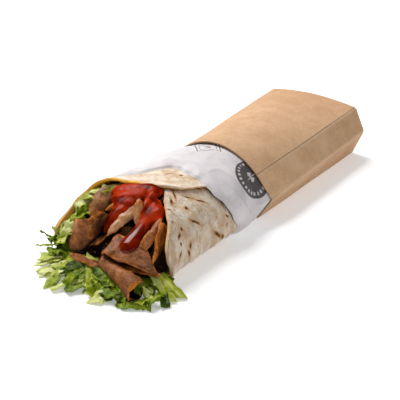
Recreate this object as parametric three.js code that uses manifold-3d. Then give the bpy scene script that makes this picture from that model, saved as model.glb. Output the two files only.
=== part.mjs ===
// A doner wrap in its paper and kraft sleeve: a flour tortilla rolled round shaved meat and
// lettuce, with sauce over the meat where the roll is open. All lengths are millimetres.
// The roll lies along Y on the ground plane, its open end at -Y and the sleeve at +Y.
// While the pieces are worked out, X = 0 is the middle of the roll and Y = 0 is the front
// edge of the sleeve. The finished group is moved so that its origin is under its middle.
import * as THREE from 'three';
import { mergeVertices } from 'three/addons/utils/BufferGeometryUtils.js';
import Module from 'manifold-3d';

const wasm = await Module();
wasm.setup();
const { degToRad, lerp, smoothstep } = THREE.MathUtils;

// Driving dimensions.
const GAP = 0.3; // clearance kept between two pieces that touch
const SLEEVE = { length: 122.6, board: 0.5 };
// The sleeve is a flattened tube with six sides. Its top panel bows up by `crown`.
const SLEEVE_FRONT = { base: 63.9, fold: 85.2, foldUp: 17.2, top: 60.1, topUp: 28.3, crown: 13.5 };
const SLEEVE_BACK = { base: 64.8, fold: 80.8, foldUp: 18.0, top: 66.6, topUp: 33.5, crown: 2.5 };
// The roll is round above its widest line and nearly flat below it.
const ROLL = { halfWidth: 37.5, up: 41.5, widest: 17, base: 0.8, roundTop: 2.2, roundBase: 4.5 };
const FILLED = 112; // how far behind the sleeve's front edge the tortilla and filling reach
const PAPER = { thick: 0.4, end: 119.5, rounded: 2.5 };
const STEP = 10; // degrees between two columns of the paper and the tortilla
// The sleeve starts to squeeze the roll at `from` and holds it at `full`. Before that the roll
// has `slack` to the sleeve's line, and a higher `hardness` bends it more sharply to that line.
const GRIP = { from: -26, full: -3, slack: 12, hardness: 18 };
const TORTILLA = { thick: 2.0, innerEnd: 120, outerEnd: -340 };
const PILE = { top: 41, topAt: -66, slope: 0.6 }; // the face of the filling leans back this way
const SLICE_THICK = 2.4;

// Front edges as [degrees round the roll, y]. Degrees run from the right (0) over the top (90).
// The tortilla's angle starts at its inner end, under the outer lap, and falls round the roll.
const PAPER_FRONT = [[-120, -52], [-60, -50], [-15, -31], [5, -38], [32, -44], [88, -42],
  [104, -45], [115, -62], [130, -73], [170, -82], [240, -52]];
const TORTILLA_FRONT = [[120, -46], [95, -57], [70, -66], [50, -76], [30, -86], [8, -101],
  [-14, -99], [-30, -92], [-90, -95], [-150, -103], [-177, -103], [-190, -90], [-212, -76],
  [-235, -72], [-268, -69], [-290, -64], [-308, -57], [-321, -43], [-340, -29]];

// Meat slices. Each is placed by the middle of its outer face, turned by heading (0 is +X),
// pitch and roll, and shaped by its length and width, its curl across the width and its bend
// along the length. `radius` makes a tight curl with flat leaves beside it, `flare` opens the
// curl towards the tip, and `ends` scales the width at the root and at the tip.
const SLICES = [
  { name: 'meat_slice_left_top', at: [-22, -84, 30], turn: [90, 35, 55], length: 19, width: 12,
    curl: 40, bend: 10, ends: [1, 0.8] },
  { name: 'meat_slice_left_curled', at: [-16, -103, 22], turn: [105, 45, 35], length: 24, width: 24,
    curl: 130, bend: 0, ends: [0.85, 1.05] },
  { name: 'meat_slice_left_low', at: [-8, -114, 11.5], turn: [25, -20, 0], length: 18, width: 9,
    curl: 10, bend: 0, ends: [0.8, 1] },
  { name: 'meat_slice_folded', at: [-2, -105, 18], turn: [92, 30, -80], length: 15, width: 80,
    curl: 180, bend: 0, ends: [1, 0.5], radius: 3.1 },
  { name: 'meat_slice_rolled', at: [15, -118, 9], turn: [-19, -9, 120], length: 36, width: 36,
    curl: 270, bend: 0, ends: [0.43, 1], radius: 5.5, flare: 0.4 },
  { name: 'meat_slice_right_tall', at: [28, -94, 21], turn: [110, 55, 70], length: 31, width: 11,
    curl: -60, bend: 20, ends: [0.6, 1] },
  { name: 'meat_slice_middle_long', at: [0, -91, 28], turn: [75, 30, 35], length: 32, width: 7,
    curl: 20, bend: 15, ends: [0.7, 0.6] },
  { name: 'meat_slice_middle_short', at: [7, -87, 30], turn: [-60, -45, -10], length: 19, width: 8,
    curl: 30, bend: 0, ends: [1.2, 0.3] },
  { name: 'meat_slice_right_thin', at: [22, -93, 27], turn: [85, 40, 25], length: 22, width: 6.5,
    curl: 20, bend: 10, ends: [1, 0.7] },
  { name: 'meat_slice_tip', at: [-13, -85, 31], turn: [45, 20, 40], length: 8, width: 4,
    curl: 20, bend: 0, ends: [1, 0.3] },
  { name: 'meat_slice_rim', at: [-19, -74, 36], turn: [45, 20, 40], length: 9, width: 5,
    curl: 20, bend: 0, ends: [0.6, 1] },
];

// The meat that runs through the roll stands on the bed of lettuce, clear of the left wall. It
// narrows by `neck` between y = neckTo and neckFrom, and its face lies `recess` behind the pile's.
const MEAT = { base: 8, left: 29, neck: 6, neckFrom: -80, neckTo: -115, recess: 7, lump: 1.2 };

// The bed of lettuce spans these degrees, from the left wall to the right end of the floor.
// On the floor it stays `floorBack` further inside than on the wall.
const BED = { from: 152, to: 342, wallBack: 1, floorBack: 6, level: -78 };

// Runs of sauce over the meat: a path and the strand's radius at its start and end.
const SAUCE_RUNS = [
  { path: [[-21, -76, 33], [-6, -71, 35], [9, -72, 34], [24, -80, 31.5]], thick: [4.5, 6] },
  { path: [[-15, -76, 32], [-11, -87, 28], [-7, -99, 21]], thick: [5, 3] },
  { path: [[5, -72, 34], [9, -86, 28], [13, -98, 22], [17, -107, 17]], thick: [4, 6] },
];

// The spilled salad: [degrees, reach] round its middle on the ground, and its two tufts as
// [x, y, height].
const HEAP = {
  middle: [-4, -96], up: 7.6, ragged: 0.12, tuftSpread: 9, lift: 4.2, liftFrom: -106, liftTo: -98,
  tufts: [[-46, -108, 13], [42, -108, 9]],
  outline: [[-360, 36], [-347, 30], [-300, 25], [-240, 25], [-205, 38], [-186, 58], [-175, 60],
    [-165, 52], [-140, 47], [-106, 43], [-62, 38], [-45, 42], [-31, 52], [-18, 56], [-8, 48], [0, 36]],
};

// ---------------------------------------------------------------- closed meshes

// Builds a geometry from points and triangles, turned so that its faces point out.
function solid(points, triangles) {
  let volume = 0;
  for (const [a, b, c] of triangles) {
    volume += points[a].clone().cross(points[b]).dot(points[c]);
  }
  const index = volume > 0 ? triangles.flat() : triangles.map(([a, b, c]) => [a, c, b]).flat();
  const geometry = new THREE.BufferGeometry();
  const positions = points.flatMap((point) => point.toArray());
  geometry.setAttribute('position', new THREE.Float32BufferAttribute(positions, 3));
  geometry.setIndex(index);
  return geometry;
}

// The two triangles of a quad, split along its shorter diagonal.
function quad(points, a, b, c, d) {
  const straight = points[a].distanceTo(points[c]) < points[b].distanceTo(points[d]);
  return straight ? [[a, b, c], [a, c, d]] : [[a, b, d], [b, c, d]];
}

// A solid that lies between two surfaces over the same (u, v) grid, closed round its border.
function sheet(columns, rows, outer, inner) {
  const points = [];
  for (const surface of [outer, inner]) {
    for (let j = 0; j <= rows; j += 1) {
      for (let i = 0; i <= columns; i += 1) {
        points.push(surface(i / columns, j / rows));
      }
    }
  }
  const outside = (i, j) => j * (columns + 1) + i;
  const inside = (i, j) => outside(i, j) + (columns + 1) * (rows + 1);
  const triangles = [];
  const add = (...corners) => triangles.push(...quad(points, ...corners));
  for (let j = 0; j < rows; j += 1) {
    for (let i = 0; i < columns; i += 1) {
      add(outside(i, j), outside(i + 1, j), outside(i + 1, j + 1), outside(i, j + 1));
      add(inside(i, j + 1), inside(i + 1, j + 1), inside(i + 1, j), inside(i, j));
    }
    add(outside(0, j + 1), inside(0, j + 1), inside(0, j), outside(0, j));
    add(outside(columns, j), inside(columns, j), inside(columns, j + 1), outside(columns, j + 1));
  }
  for (let i = 0; i < columns; i += 1) {
    add(outside(i, 0), inside(i, 0), inside(i + 1, 0), outside(i + 1, 0));
    add(outside(i + 1, rows), inside(i + 1, rows), inside(i, rows), outside(i, rows));
  }
  return solid(points, triangles);
}

// A solid skinned over a stack of closed rings. Two end points close it like a ball, and
// without them the last ring joins the first.
function ringStack(rings, poles) {
  const count = rings[0].length;
  const points = rings.flat();
  const triangles = [];
  const joined = poles ? rings.length - 1 : rings.length;
  for (let k = 0; k < joined; k += 1) {
    const here = k * count;
    const next = ((k + 1) % rings.length) * count;
    for (let i = 0; i < count; i += 1) {
      const j = (i + 1) % count;
      triangles.push(...quad(points, here + i, here + j, next + j, next + i));
    }
  }
  if (poles) {
    const first = points.length;
    const last = (rings.length - 1) * count;
    points.push(...poles);
    for (let i = 0; i < count; i += 1) {
      const j = (i + 1) % count;
      triangles.push([first, j, i]);
      triangles.push([first + 1, last + i, last + j]);
    }
  }
  return solid(points, triangles);
}

function toManifold(geometry) {
  const bare = new THREE.BufferGeometry();
  bare.setAttribute('position', geometry.getAttribute('position'));
  bare.setIndex(geometry.getIndex());
  const merged = mergeVertices(bare, 1e-5);
  return new wasm.Manifold(new wasm.Mesh({
    numProp: 3,
    vertProperties: new Float32Array(merged.getAttribute('position').array),
    triVerts: new Uint32Array(merged.getIndex().array),
  }));
}

// Back to a geometry. Crumbs that a cut leaves loose are dropped and the largest body is kept.
function fromManifold(manifold) {
  const { vertProperties, triVerts } = manifold.getMesh();
  const points = [];
  for (let i = 0; i < vertProperties.length; i += 3) {
    points.push(new THREE.Vector3(vertProperties[i], vertProperties[i + 1], vertProperties[i + 2]));
  }
  const parent = points.map((_, i) => i);
  const root = (i) => {
    let r = i;
    while (parent[r] !== r) r = parent[r];
    parent[i] = r;
    return r;
  };
  const triangles = [];
  for (let i = 0; i < triVerts.length; i += 3) {
    const triangle = [triVerts[i], triVerts[i + 1], triVerts[i + 2]];
    parent[root(triangle[1])] = root(triangle[0]);
    parent[root(triangle[2])] = root(triangle[0]);
    triangles.push(triangle);
  }
  const sizes = new Map();
  for (const [a] of triangles) sizes.set(root(a), (sizes.get(root(a)) ?? 0) + 1);
  const largest = [...sizes].sort((a, b) => b[1] - a[1])[0][0];
  return solid(points, triangles.filter(([a]) => root(a) === largest));
}

// ---------------------------------------------------------------- shapes shared by the layers

// A smooth curve through [position, value] pairs, read at any position between them.
function curveThrough(keys) {
  const sorted = [...keys].sort((a, b) => a[0] - b[0]);
  const tangents = sorted.map((_, i) => {
    const before = sorted[Math.max(i - 1, 0)];
    const after = sorted[Math.min(i + 1, sorted.length - 1)];
    return (after[1] - before[1]) / (after[0] - before[0]);
  });
  return (position) => {
    const x = THREE.MathUtils.clamp(position, sorted[0][0], sorted[sorted.length - 1][0]);
    let i = 0;
    while (i < sorted.length - 2 && sorted[i + 1][0] < x) i += 1;
    const span = sorted[i + 1][0] - sorted[i][0];
    const t = (x - sorted[i][0]) / span;
    const rise = 3 * t * t - 2 * t * t * t;
    return sorted[i][1] * (1 - rise) + sorted[i + 1][1] * rise
      + span * t * (1 - t) * ((1 - t) * tangents[i] - t * tangents[i + 1]);
  };
}

// The sleeve's section at a distance y behind its front edge: a closed outline of [x, z].
function sleeveOutline(y) {
  const t = THREE.MathUtils.clamp(y / SLEEVE.length, 0, 1);
  const size = {};
  for (const [key, front] of Object.entries(SLEEVE_FRONT)) {
    size[key] = lerp(front, SLEEVE_BACK[key], t);
  }
  const half = size.top / 2;
  const radius = (half * half + size.crown * size.crown) / (2 * size.crown);
  const sweep = Math.asin(half / radius);
  const outline = [[-size.base / 2, 0], [0, 0], [size.base / 2, 0], [size.fold / 2, size.foldUp]];
  const steps = 14;
  for (let i = 0; i <= steps; i += 1) {
    const angle = sweep * (1 - (2 * i) / steps);
    outline.push([radius * Math.sin(angle), size.topUp + size.crown - radius * (1 - Math.cos(angle))]);
  }
  outline.push([-size.fold / 2, size.foldUp]);
  return outline;
}

// Moves each corner of an outline inwards so that every side shifts by `inset`.
function insetOutline(outline, inset) {
  const count = outline.length;
  return outline.map(([x, z], i) => {
    const [px, pz] = outline[(i + count - 1) % count];
    const [nx, nz] = outline[(i + 1) % count];
    const before = new THREE.Vector2(-(z - pz), x - px).normalize();
    const after = new THREE.Vector2(-(nz - z), nx - x).normalize();
    const corner = before.clone().add(after);
    const reach = inset / (1 + before.dot(after));
    return [x + corner.x * reach, z + corner.y * reach];
  });
}

// How far a ray from the middle of the roll travels before it meets an outline.
function rayLength(outline, angle) {
  const dx = Math.cos(angle);
  const dz = Math.sin(angle);
  let length = 0;
  outline.forEach(([ax, az], i) => {
    const [bx, bz] = outline[(i + 1) % outline.length];
    const ex = bx - ax;
    const ez = bz - az;
    const turn = dx * ez - dz * ex;
    const along = (ax * ez - (az - ROLL.widest) * ex) / turn;
    const across = (ax * dz - (az - ROLL.widest) * dx) / turn;
    if (along > 0 && across >= 0 && across <= 1) length = Math.max(length, along);
  });
  return length;
}

// Radius of the wrapped roll: a D-shaped section, squeezed to fit where the sleeve holds it.
function rollRadius(degrees, y) {
  const angle = degToRad(degrees);
  const above = Math.sin(angle) >= 0;
  const height = above ? ROLL.up - ROLL.widest : ROLL.widest - ROLL.base;
  const power = above ? ROLL.roundTop : ROLL.roundBase;
  const free = (Math.abs(Math.cos(angle) / ROLL.halfWidth) ** power
    + Math.abs(Math.sin(angle) / height) ** power) ** (-1 / power);
  const slack = GRIP.slack * (1 - smoothstep(y, GRIP.from, GRIP.full));
  const held = rayLength(insetOutline(sleeveOutline(y), SLEEVE.board + GAP), angle) + slack;
  return (free ** -GRIP.hardness + held ** -GRIP.hardness) ** (-1 / GRIP.hardness);
}

// A point on the roll, `inset` below the outside of its paper.
function rollPoint(degrees, y, inset) {
  const radius = rollRadius(degrees, y) - inset;
  const angle = degToRad(degrees);
  return new THREE.Vector3(radius * Math.cos(angle), y, ROLL.widest + radius * Math.sin(angle));
}

// How deep the tortilla's outer face lies below the outside of the paper. The first turn
// runs one layer deeper while the outer lap covers it.
function lapDepth(sheetAngle) {
  const under = smoothstep(sheetAngle, -25, 20);
  return PAPER.thick + GAP + under * (TORTILLA.thick + GAP);
}

// How deep the space for the filling starts at an angle round the roll.
function fillingDepth(degrees) {
  const turned = degrees > 180 ? degrees - 360 : degrees;
  const covered = smoothstep(turned, -30, 15) * (1 - smoothstep(turned, 126, 145));
  return PAPER.thick + TORTILLA.thick + 3 * GAP + covered * (TORTILLA.thick + GAP);
}

// A row's distance along the roll. The layers share the rows where the sleeve squeezes them.
function rowAt(share, front) {
  if (share < 0.4) return lerp(front, GRIP.from, share / 0.4);
  if (share < 0.7) return lerp(GRIP.from, GRIP.full, (share - 0.4) / 0.3);
  return lerp(GRIP.full, FILLED, (share - 0.7) / 0.3);
}

const ROWS = [0, 0.2, 0.4, 0.5, 0.6, 0.7, 0.85, 1];

// Where the leaning face of the filling is at height z.
function pileFront(z) {
  return PILE.topAt + (z - PILE.top) / PILE.slope;
}

// ---------------------------------------------------------------- the wrapping

function kraftSleeve() {
  const steps = 8;
  const ring = (k, inset) => {
    const y = (SLEEVE.length * k) / steps;
    return insetOutline(sleeveOutline(y), inset).map(([x, z]) => new THREE.Vector3(x, y, z));
  };
  const rings = [];
  for (let k = 0; k <= steps; k += 1) rings.push(ring(k, 0));
  for (let k = steps; k >= 0; k -= 1) rings.push(ring(k, SLEEVE.board));
  return ringStack(rings, null);
}

// The paper is a bag: its front edge slants round the roll and its far end is folded shut.
function paperWrap() {
  const columns = 360 / STEP;
  const front = curveThrough(PAPER_FRONT);
  const ring = (inset, rowOf) => Array.from({ length: columns }, (_, i) => {
    const degrees = PAPER_FRONT[0][0] + STEP * i;
    return rollPoint(degrees, rowOf(front(degrees)), inset);
  });
  const wall = (inset) => ROWS.map((share) => ring(inset, (y) => rowAt(share, y)));
  const end = (inset) => ring(PAPER.rounded + inset, () => PAPER.end - inset);
  const rings = [end(0), ...wall(0).reverse(), ...wall(PAPER.thick), end(PAPER.thick)];
  const pole = (y) => new THREE.Vector3(0, y, ROLL.widest);
  const poles = [pole(PAPER.end), pole(PAPER.end - PAPER.thick)];
  return ringStack(rings, poles);
}

// One sheet that goes once round the roll and laps over its own start. `grow` thickens it on
// every side, for the room it takes among the filling.
function tortilla(grow) {
  const front = curveThrough(TORTILLA_FRONT);
  const face = (inset) => (u, v) => {
    const degrees = lerp(TORTILLA.innerEnd, TORTILLA.outerEnd, u);
    const share = ROWS[Math.round(v * (ROWS.length - 1))];
    return rollPoint(degrees, rowAt(share, front(degrees) - grow), lapDepth(degrees) + inset);
  };
  const columns = (TORTILLA.innerEnd - TORTILLA.outerEnd) / STEP;
  return sheet(columns, ROWS.length - 1, face(-grow), face(TORTILLA.thick + grow));
}

// ---------------------------------------------------------------- the filling

// How far across a slice a column lies. Half of the columns share the curled arc, and the
// others share the two flat leaves beside it.
function reachAcross(v, half, arc) {
  if (v < 0.25) return lerp(-half, -arc, 4 * v);
  if (v > 0.75) return lerp(arc, half, 4 * v - 3);
  return arc * (4 * v - 2);
}

// A slice in its own frame: X along it, Y across it, Z out of its outer face.
function slice(spec, grow) {
  const { length, width, ends, flare = 0 } = spec;
  const curl = degToRad(Math.abs(spec.curl));
  const hollow = Math.sign(spec.curl);
  const bendRadius = length / degToRad(Math.max(spec.bend, 1));
  const folded = spec.radius !== undefined;
  const face = (depth) => (u, v) => {
    const along = 2 * u - 1;
    const radius = (spec.radius ?? width / curl) * (1 + flare * along);
    const blunt = folded ? 1 : 0.3 + 0.7 * Math.sqrt(1 - Math.abs(along) ** 5);
    const cut = (width / 2) * lerp(ends[0], ends[1], u) * blunt;
    const arc = Math.min((radius * curl) / 2, cut / 2);
    const reach = reachAcross(v, cut + 2.5 * grow, arc);
    const angle = THREE.MathUtils.clamp(reach / radius, -curl / 2, curl / 2);
    const rest = reach - radius * angle;
    const out = radius - hollow * depth;
    const y = out * Math.sin(angle) + rest * Math.cos(angle);
    const z = hollow * (out * Math.cos(angle) - radius - rest * Math.sin(angle));
    const turn = (along * (length / 2 + grow)) / bendRadius;
    const lever = bendRadius + z;
    return new THREE.Vector3(lever * Math.sin(turn), y, lever * Math.cos(turn) - bendRadius);
  };
  const columns = length > 12 ? 4 : 2;
  const rows = folded ? 12 : 4;
  return sheet(columns, rows, face(-grow), face(SLICE_THICK + grow));
}

// The turn that a slice's heading, pitch and roll stand for.
function sliceTurn([heading, pitch, roll]) {
  const h = degToRad(heading);
  const p = degToRad(pitch);
  const along = new THREE.Vector3(Math.cos(h) * Math.cos(p), Math.sin(h) * Math.cos(p), Math.sin(p));
  const level = new THREE.Vector3(-Math.sin(h), Math.cos(h), 0);
  const out = new THREE.Vector3().crossVectors(along, level).applyAxisAngle(along, degToRad(roll));
  const across = new THREE.Vector3().crossVectors(out, along);
  return new THREE.Quaternion().setFromRotationMatrix(new THREE.Matrix4().makeBasis(along, across, out));
}

function placedSlice(spec, grow) {
  const placed = slice(spec, grow);
  placed.applyQuaternion(sliceTurn(spec.turn));
  placed.translate(...spec.at);
  return toManifold(placed);
}

// The part of a section that holds meat: the space inside the tortilla, above the bed of
// lettuce and clear of the strip of lettuce along the left wall.
function meatRadius(degrees, y) {
  const angle = degToRad(degrees);
  const space = rollRadius(degrees, y) - fillingDepth(degrees);
  const spread = MEAT.neck * (1 - smoothstep(y, MEAT.neckTo, MEAT.neckFrom));
  const floor = (ROLL.widest - MEAT.base) / Math.max(-Math.sin(angle), 0.01);
  const left = MEAT.left / Math.max(-Math.cos(angle), 0.01);
  return Math.min(space - spread, floor, left);
}

// The meat runs the length of the roll and ends in a leaning, uneven face.
function meatFilling(grow) {
  const columns = 24;
  const back = FILLED + 4 * grow;
  const frontAt = (height) => pileFront(height) + MEAT.recess - grow;
  const point = (i, t, scale) => {
    const degrees = (360 * i) / columns;
    const angle = degToRad(degrees);
    const height = ROLL.widest + meatRadius(degrees, GRIP.from) * Math.sin(angle) * scale;
    const y = t > 0 ? rowAt(1 - t, frontAt(height)) : back;
    const radius = (meatRadius(degrees, y) + grow) * scale;
    const lump = scale < 1 ? MEAT.lump * Math.sin(5 * angle + 7 * scale) : 0;
    const z = ROLL.widest + radius * Math.sin(angle);
    return new THREE.Vector3(radius * Math.cos(angle), y + lump, z);
  };
  const ring = (t, scale) => Array.from({ length: columns }, (_, i) => point(i, t, scale));
  const rings = [0, 0.3, 0.4, 0.5, 0.6, 0.8, 1].map((t) => ring(t, 1));
  rings.push(ring(1, 0.5));
  const pole = (y) => new THREE.Vector3(0, y, ROLL.widest);
  return toManifold(ringStack(rings, [pole(back), pole(frontAt(ROLL.widest))]));
}

// One run of sauce: a round strand along a path, fat in the middle and round at its ends.
function sauceRun({ path, thick }) {
  const curve = new THREE.CatmullRomCurve3(path.map((p) => new THREE.Vector3(...p)));
  const rings = 7;
  const sides = 7;
  const frames = curve.computeFrenetFrames(rings, false);
  const stack = [];
  for (let k = 1; k < rings; k += 1) {
    const t = k / rings;
    const radius = lerp(thick[0], thick[1], t) * Math.sqrt(1 - Math.abs(2 * t - 1) ** 4);
    const middle = curve.getPointAt(t);
    stack.push(Array.from({ length: sides }, (_, i) => {
      const angle = (2 * Math.PI * i) / sides;
      return middle.clone()
        .addScaledVector(frames.normals[k], radius * Math.cos(angle))
        .addScaledVector(frames.binormals[k], radius * Math.sin(angle));
    }));
  }
  return toManifold(ringStack(stack, [curve.getPointAt(0), curve.getPointAt(1)]));
}

function allSauce(grow) {
  const runs = SAUCE_RUNS.map(({ path, thick: [start, end] }) => (
    sauceRun({ path, thick: [start + grow, end + grow] })));
  return runs.reduce((whole, run) => whole.add(run));
}

// The salad that spills out of the open end: a low dome on the ground with an uneven outline
// and a taller tuft on each side. Behind its front part it lifts clear of the tortilla.
function lettuceHeap() {
  const columns = 30;
  const edge = 1.5;
  const outline = curveThrough(HEAP.outline);
  const [middleX, middleY] = HEAP.middle;
  const tuftHeight = (x, y) => HEAP.tufts.reduce((sum, [tx, ty, tall]) => (
    sum + tall * Math.exp(-((x - tx) ** 2 + (y - ty) ** 2) / (2 * HEAP.tuftSpread ** 2))), 0);
  const point = (i, share, height) => {
    const degrees = (360 * i) / columns - 360;
    const angle = degToRad(degrees);
    const ragged = 1 + HEAP.ragged * Math.sin(11 * angle) * Math.sin(3 * angle);
    const reach = outline(degrees) * ragged * share;
    const x = middleX + reach * Math.cos(angle);
    const y = middleY + reach * Math.sin(angle);
    const lift = HEAP.lift * smoothstep(y, HEAP.liftFrom, HEAP.liftTo);
    if (height === 0) return new THREE.Vector3(x, y, lift);
    const tuft = tuftHeight(x, y) * Math.sqrt(1 - share * share);
    return new THREE.Vector3(x, y, Math.max(height, lift + 1) + tuft);
  };
  const ring = (share, height) => Array.from({ length: columns }, (_, i) => point(i, share, height));
  const dome = (share) => ring(share, edge + (HEAP.up - edge) * (1 - share ** 3));
  const rings = [ring(0.9, 0), ring(1, edge), dome(0.9), dome(0.7), dome(0.4)];
  const pole = (z) => new THREE.Vector3(middleX, middleY, z);
  return toManifold(ringStack(rings, [pole(0), pole(HEAP.up)]));
}

// The bed of lettuce under the meat and up the left wall, which runs the length of the roll.
function lettuceBed() {
  const spaceRadius = (degrees, y) => rollRadius(degrees, y) - fillingDepth(degrees);
  const meatSide = (degrees, y) => meatRadius(degrees, Math.max(y, BED.level)) + GAP;
  const face = (radiusAt) => (u, v) => {
    const degrees = lerp(BED.from, BED.to, u);
    const angle = degToRad(degrees);
    const height = ROLL.widest + spaceRadius(degrees, GRIP.from) * Math.sin(angle);
    const setBack = BED.wallBack + BED.floorBack * smoothstep(degrees, 190, 215);
    const y = rowAt(v, pileFront(height) + setBack);
    const radius = radiusAt(degrees, y);
    return new THREE.Vector3(radius * Math.cos(angle), y, ROLL.widest + radius * Math.sin(angle));
  };
  return toManifold(sheet(14, 7, face(spaceRadius), face(meatSide)));
}

// ---------------------------------------------------------------- the whole wrap

const PALETTE = {
  kraft: { color: '#c49a6c', roughness: 0.9 },
  paper: { color: '#e9e7ea', roughness: 0.75 },
  tortilla: { color: '#e6dccb', roughness: 0.85 },
  lettuce: { color: '#7da834', roughness: 0.5 },
  meat: { color: '#8a5a3c', roughness: 0.6 },
  sauce: { color: '#8e1c10', roughness: 0.15 },
};

function piece(name, finish, geometry) {
  const look = { ...PALETTE[finish], metalness: 0, flatShading: true };
  const mesh = new THREE.Mesh(geometry, new THREE.MeshStandardMaterial(look));
  mesh.name = name;
  return mesh;
}

const wrap = new THREE.Group();
wrap.add(piece('kraft_sleeve', 'kraft', kraftSleeve()));
wrap.add(piece('paper_wrap', 'paper', paperWrap()));
wrap.add(piece('tortilla', 'tortilla', tortilla(0)));

// The slices are laid in order, and each gives way to those already laid.
let laid = toManifold(tortilla(GAP));
for (const spec of SLICES) {
  wrap.add(piece(spec.name, 'meat', fromManifold(placedSlice(spec, 0).subtract(laid))));
  laid = laid.add(placedSlice(spec, GAP));
}
wrap.add(piece('sauce', 'sauce', fromManifold(allSauce(0).subtract(laid))));
laid = laid.add(allSauce(GAP));
wrap.add(piece('meat_filling', 'meat', fromManifold(meatFilling(0).subtract(laid))));
laid = laid.add(meatFilling(GAP));
wrap.add(piece('lettuce', 'lettuce', fromManifold(lettuceHeap().add(lettuceBed()).subtract(laid))));

// The origin is on the ground under the middle of the whole wrap.
const bounds = new THREE.Box3().setFromObject(wrap);
const middle = bounds.getCenter(new THREE.Vector3());
wrap.position.set(-middle.x, -middle.y, -bounds.min.z);

const model = new THREE.Group();
model.add(wrap);
export default model;
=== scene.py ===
"""A doner wrap in its paper and kraft sleeve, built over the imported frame.

Shapes are worked out in millimetres in the wrap's own frame: X = 0 is the middle of the roll,
Y = 0 is the front edge of the sleeve, +Y runs towards the sleeve's far end and Z = 0 is the
ground. START turns that frame into the CAD frame.
"""
import math
from functools import reduce
from typing import NamedTuple

import bpy
import numpy as np
from bpy.props import FloatProperty, FloatVectorProperty, IntProperty, PointerProperty
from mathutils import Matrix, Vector


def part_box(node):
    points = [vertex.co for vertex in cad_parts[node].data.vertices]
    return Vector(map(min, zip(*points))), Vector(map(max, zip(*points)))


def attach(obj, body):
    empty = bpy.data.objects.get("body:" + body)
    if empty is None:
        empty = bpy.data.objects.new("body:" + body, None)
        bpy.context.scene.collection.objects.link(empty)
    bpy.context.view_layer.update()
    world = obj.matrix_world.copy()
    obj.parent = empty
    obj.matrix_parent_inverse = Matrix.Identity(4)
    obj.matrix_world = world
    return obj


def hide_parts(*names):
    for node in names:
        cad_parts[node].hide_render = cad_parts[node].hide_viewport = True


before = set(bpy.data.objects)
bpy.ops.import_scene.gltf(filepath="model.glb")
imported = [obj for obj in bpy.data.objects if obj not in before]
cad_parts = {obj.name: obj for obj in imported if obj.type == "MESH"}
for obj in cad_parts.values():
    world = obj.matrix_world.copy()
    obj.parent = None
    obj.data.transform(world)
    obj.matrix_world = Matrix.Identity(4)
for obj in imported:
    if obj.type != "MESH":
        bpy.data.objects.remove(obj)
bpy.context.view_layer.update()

bl_info = {
    "name": "Doner wrap",
    "version": (1, 0, 0),
    "blender": (4, 5, 0),
    "location": "View3D > Sidebar > Wrap",
    "description": "Builds a doner wrap in its paper and kraft sleeve over the packed frame",
    "category": "Object",
}

MM = 0.001


def node_box(node):
    """Lowest and highest corner of a CAD node, in millimetres."""
    return [np.array(corner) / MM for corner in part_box(node)]


SLEEVE_LOW, SLEEVE_HIGH = node_box("kraft_sleeve")
PAPER_LOW, PAPER_HIGH = node_box("paper_wrap")
START = np.array([(SLEEVE_LOW[0] + SLEEVE_HIGH[0]) / 2, SLEEVE_LOW[1], 0.0])

# The sleeve is a flattened tube with six sides, whose top panel bows up by its crown.
SLEEVE_LENGTH = SLEEVE_HIGH[1] - SLEEVE_LOW[1]
SLEEVE_FRONT = {
    "base": 63.9,
    "fold": SLEEVE_HIGH[0] - SLEEVE_LOW[0],
    "fold_up": 17.2,
    "top": 60.1,
    "top_up": 28.3,
    "crown": SLEEVE_HIGH[2] - 28.3,
}
SLEEVE_BACK = {
    "base": 64.8, "fold": 80.8, "fold_up": 18.0, "top": 66.6, "top_up": 33.5, "crown": 2.5,
}

# The roll is round above its widest line and nearly flat below it.
ROLL_HALF = (PAPER_HIGH[0] - PAPER_LOW[0]) / 2
ROLL_UP = PAPER_HIGH[2]
ROLL_BASE = PAPER_LOW[2]
ROLL_WIDEST = 17.0
ROLL_END = PAPER_HIGH[1] - START[1]
ROLL_POWERS = 2.2, 4.5  # how square its section is above and below the widest line
GRIP_FROM, GRIP_FULL = -26.0, -3.0  # where the sleeve begins to hold the roll and holds it fully
GRIP_SLACK = 12.0  # room between the roll and the sleeve's line in front of its grip
FLARE, FLARE_TURN = 4.8, 163.0  # how far the mouth opens out, and its angle round the roll
SQUEEZE, FOLD = 18.0, 90.0  # how sharply the roll meets the sleeve, and two panels a fold
FILLED = 112.0  # how far back the filling goes
GAP = 0.3  # room between two layers
LAYER, SKIN, BOARD = 2.0, 0.4, 0.5  # thickness of tortilla, paper and sleeve in the frame
SHEET_RADIUS = 36.0  # turns an angle round the tortilla into millimetres along it
PRINT_RADIUS = 34.0  # turns an angle round the paper into millimetres along it
FAR = 1000.0  # further than anything in the wrap
GRAZING = 0.02  # how squarely a ray has to meet a plane to count
FREE_REACH = 60.0  # how far outside the tortilla a loose point may lie

# The leaning face of the filling: its top and how fast it falls towards the front.
PILE_TOP, PILE_TOP_AT, PILE_SLOPE = 41.0, -66.0, 0.6
SAUCE_FROM, SAUCE_FULL = 26, 34  # heights between which the sauce comes to cover the face
BED_TOP, MEAT_LEFT = 8, 29  # how high the bed of lettuce goes, and how far left the meat

# What noise multiplies cells, its seed and a sine by, so that its numbers look random.
SCATTER, SEED_SCATTER, SCATTER_REACH = np.array([127.1, 311.7, 74.7]), 53.3, 43758.5453
# Each slice has a block of noise seeds of its own, from these first ones, and each shred one.
SEED_BLOCK, PACKED_SEEDS, HAND_PLACED_SEEDS, SHRED_SEEDS = 10, 200, 700, 1.7
# Seeds of the random slices, the loose shreds and the shreds up the left wall.
PACKED_DRAW, LOOSE_DRAW, WALL_DRAW = 5, 3, 8
WALL_SHREDS = 44

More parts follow.
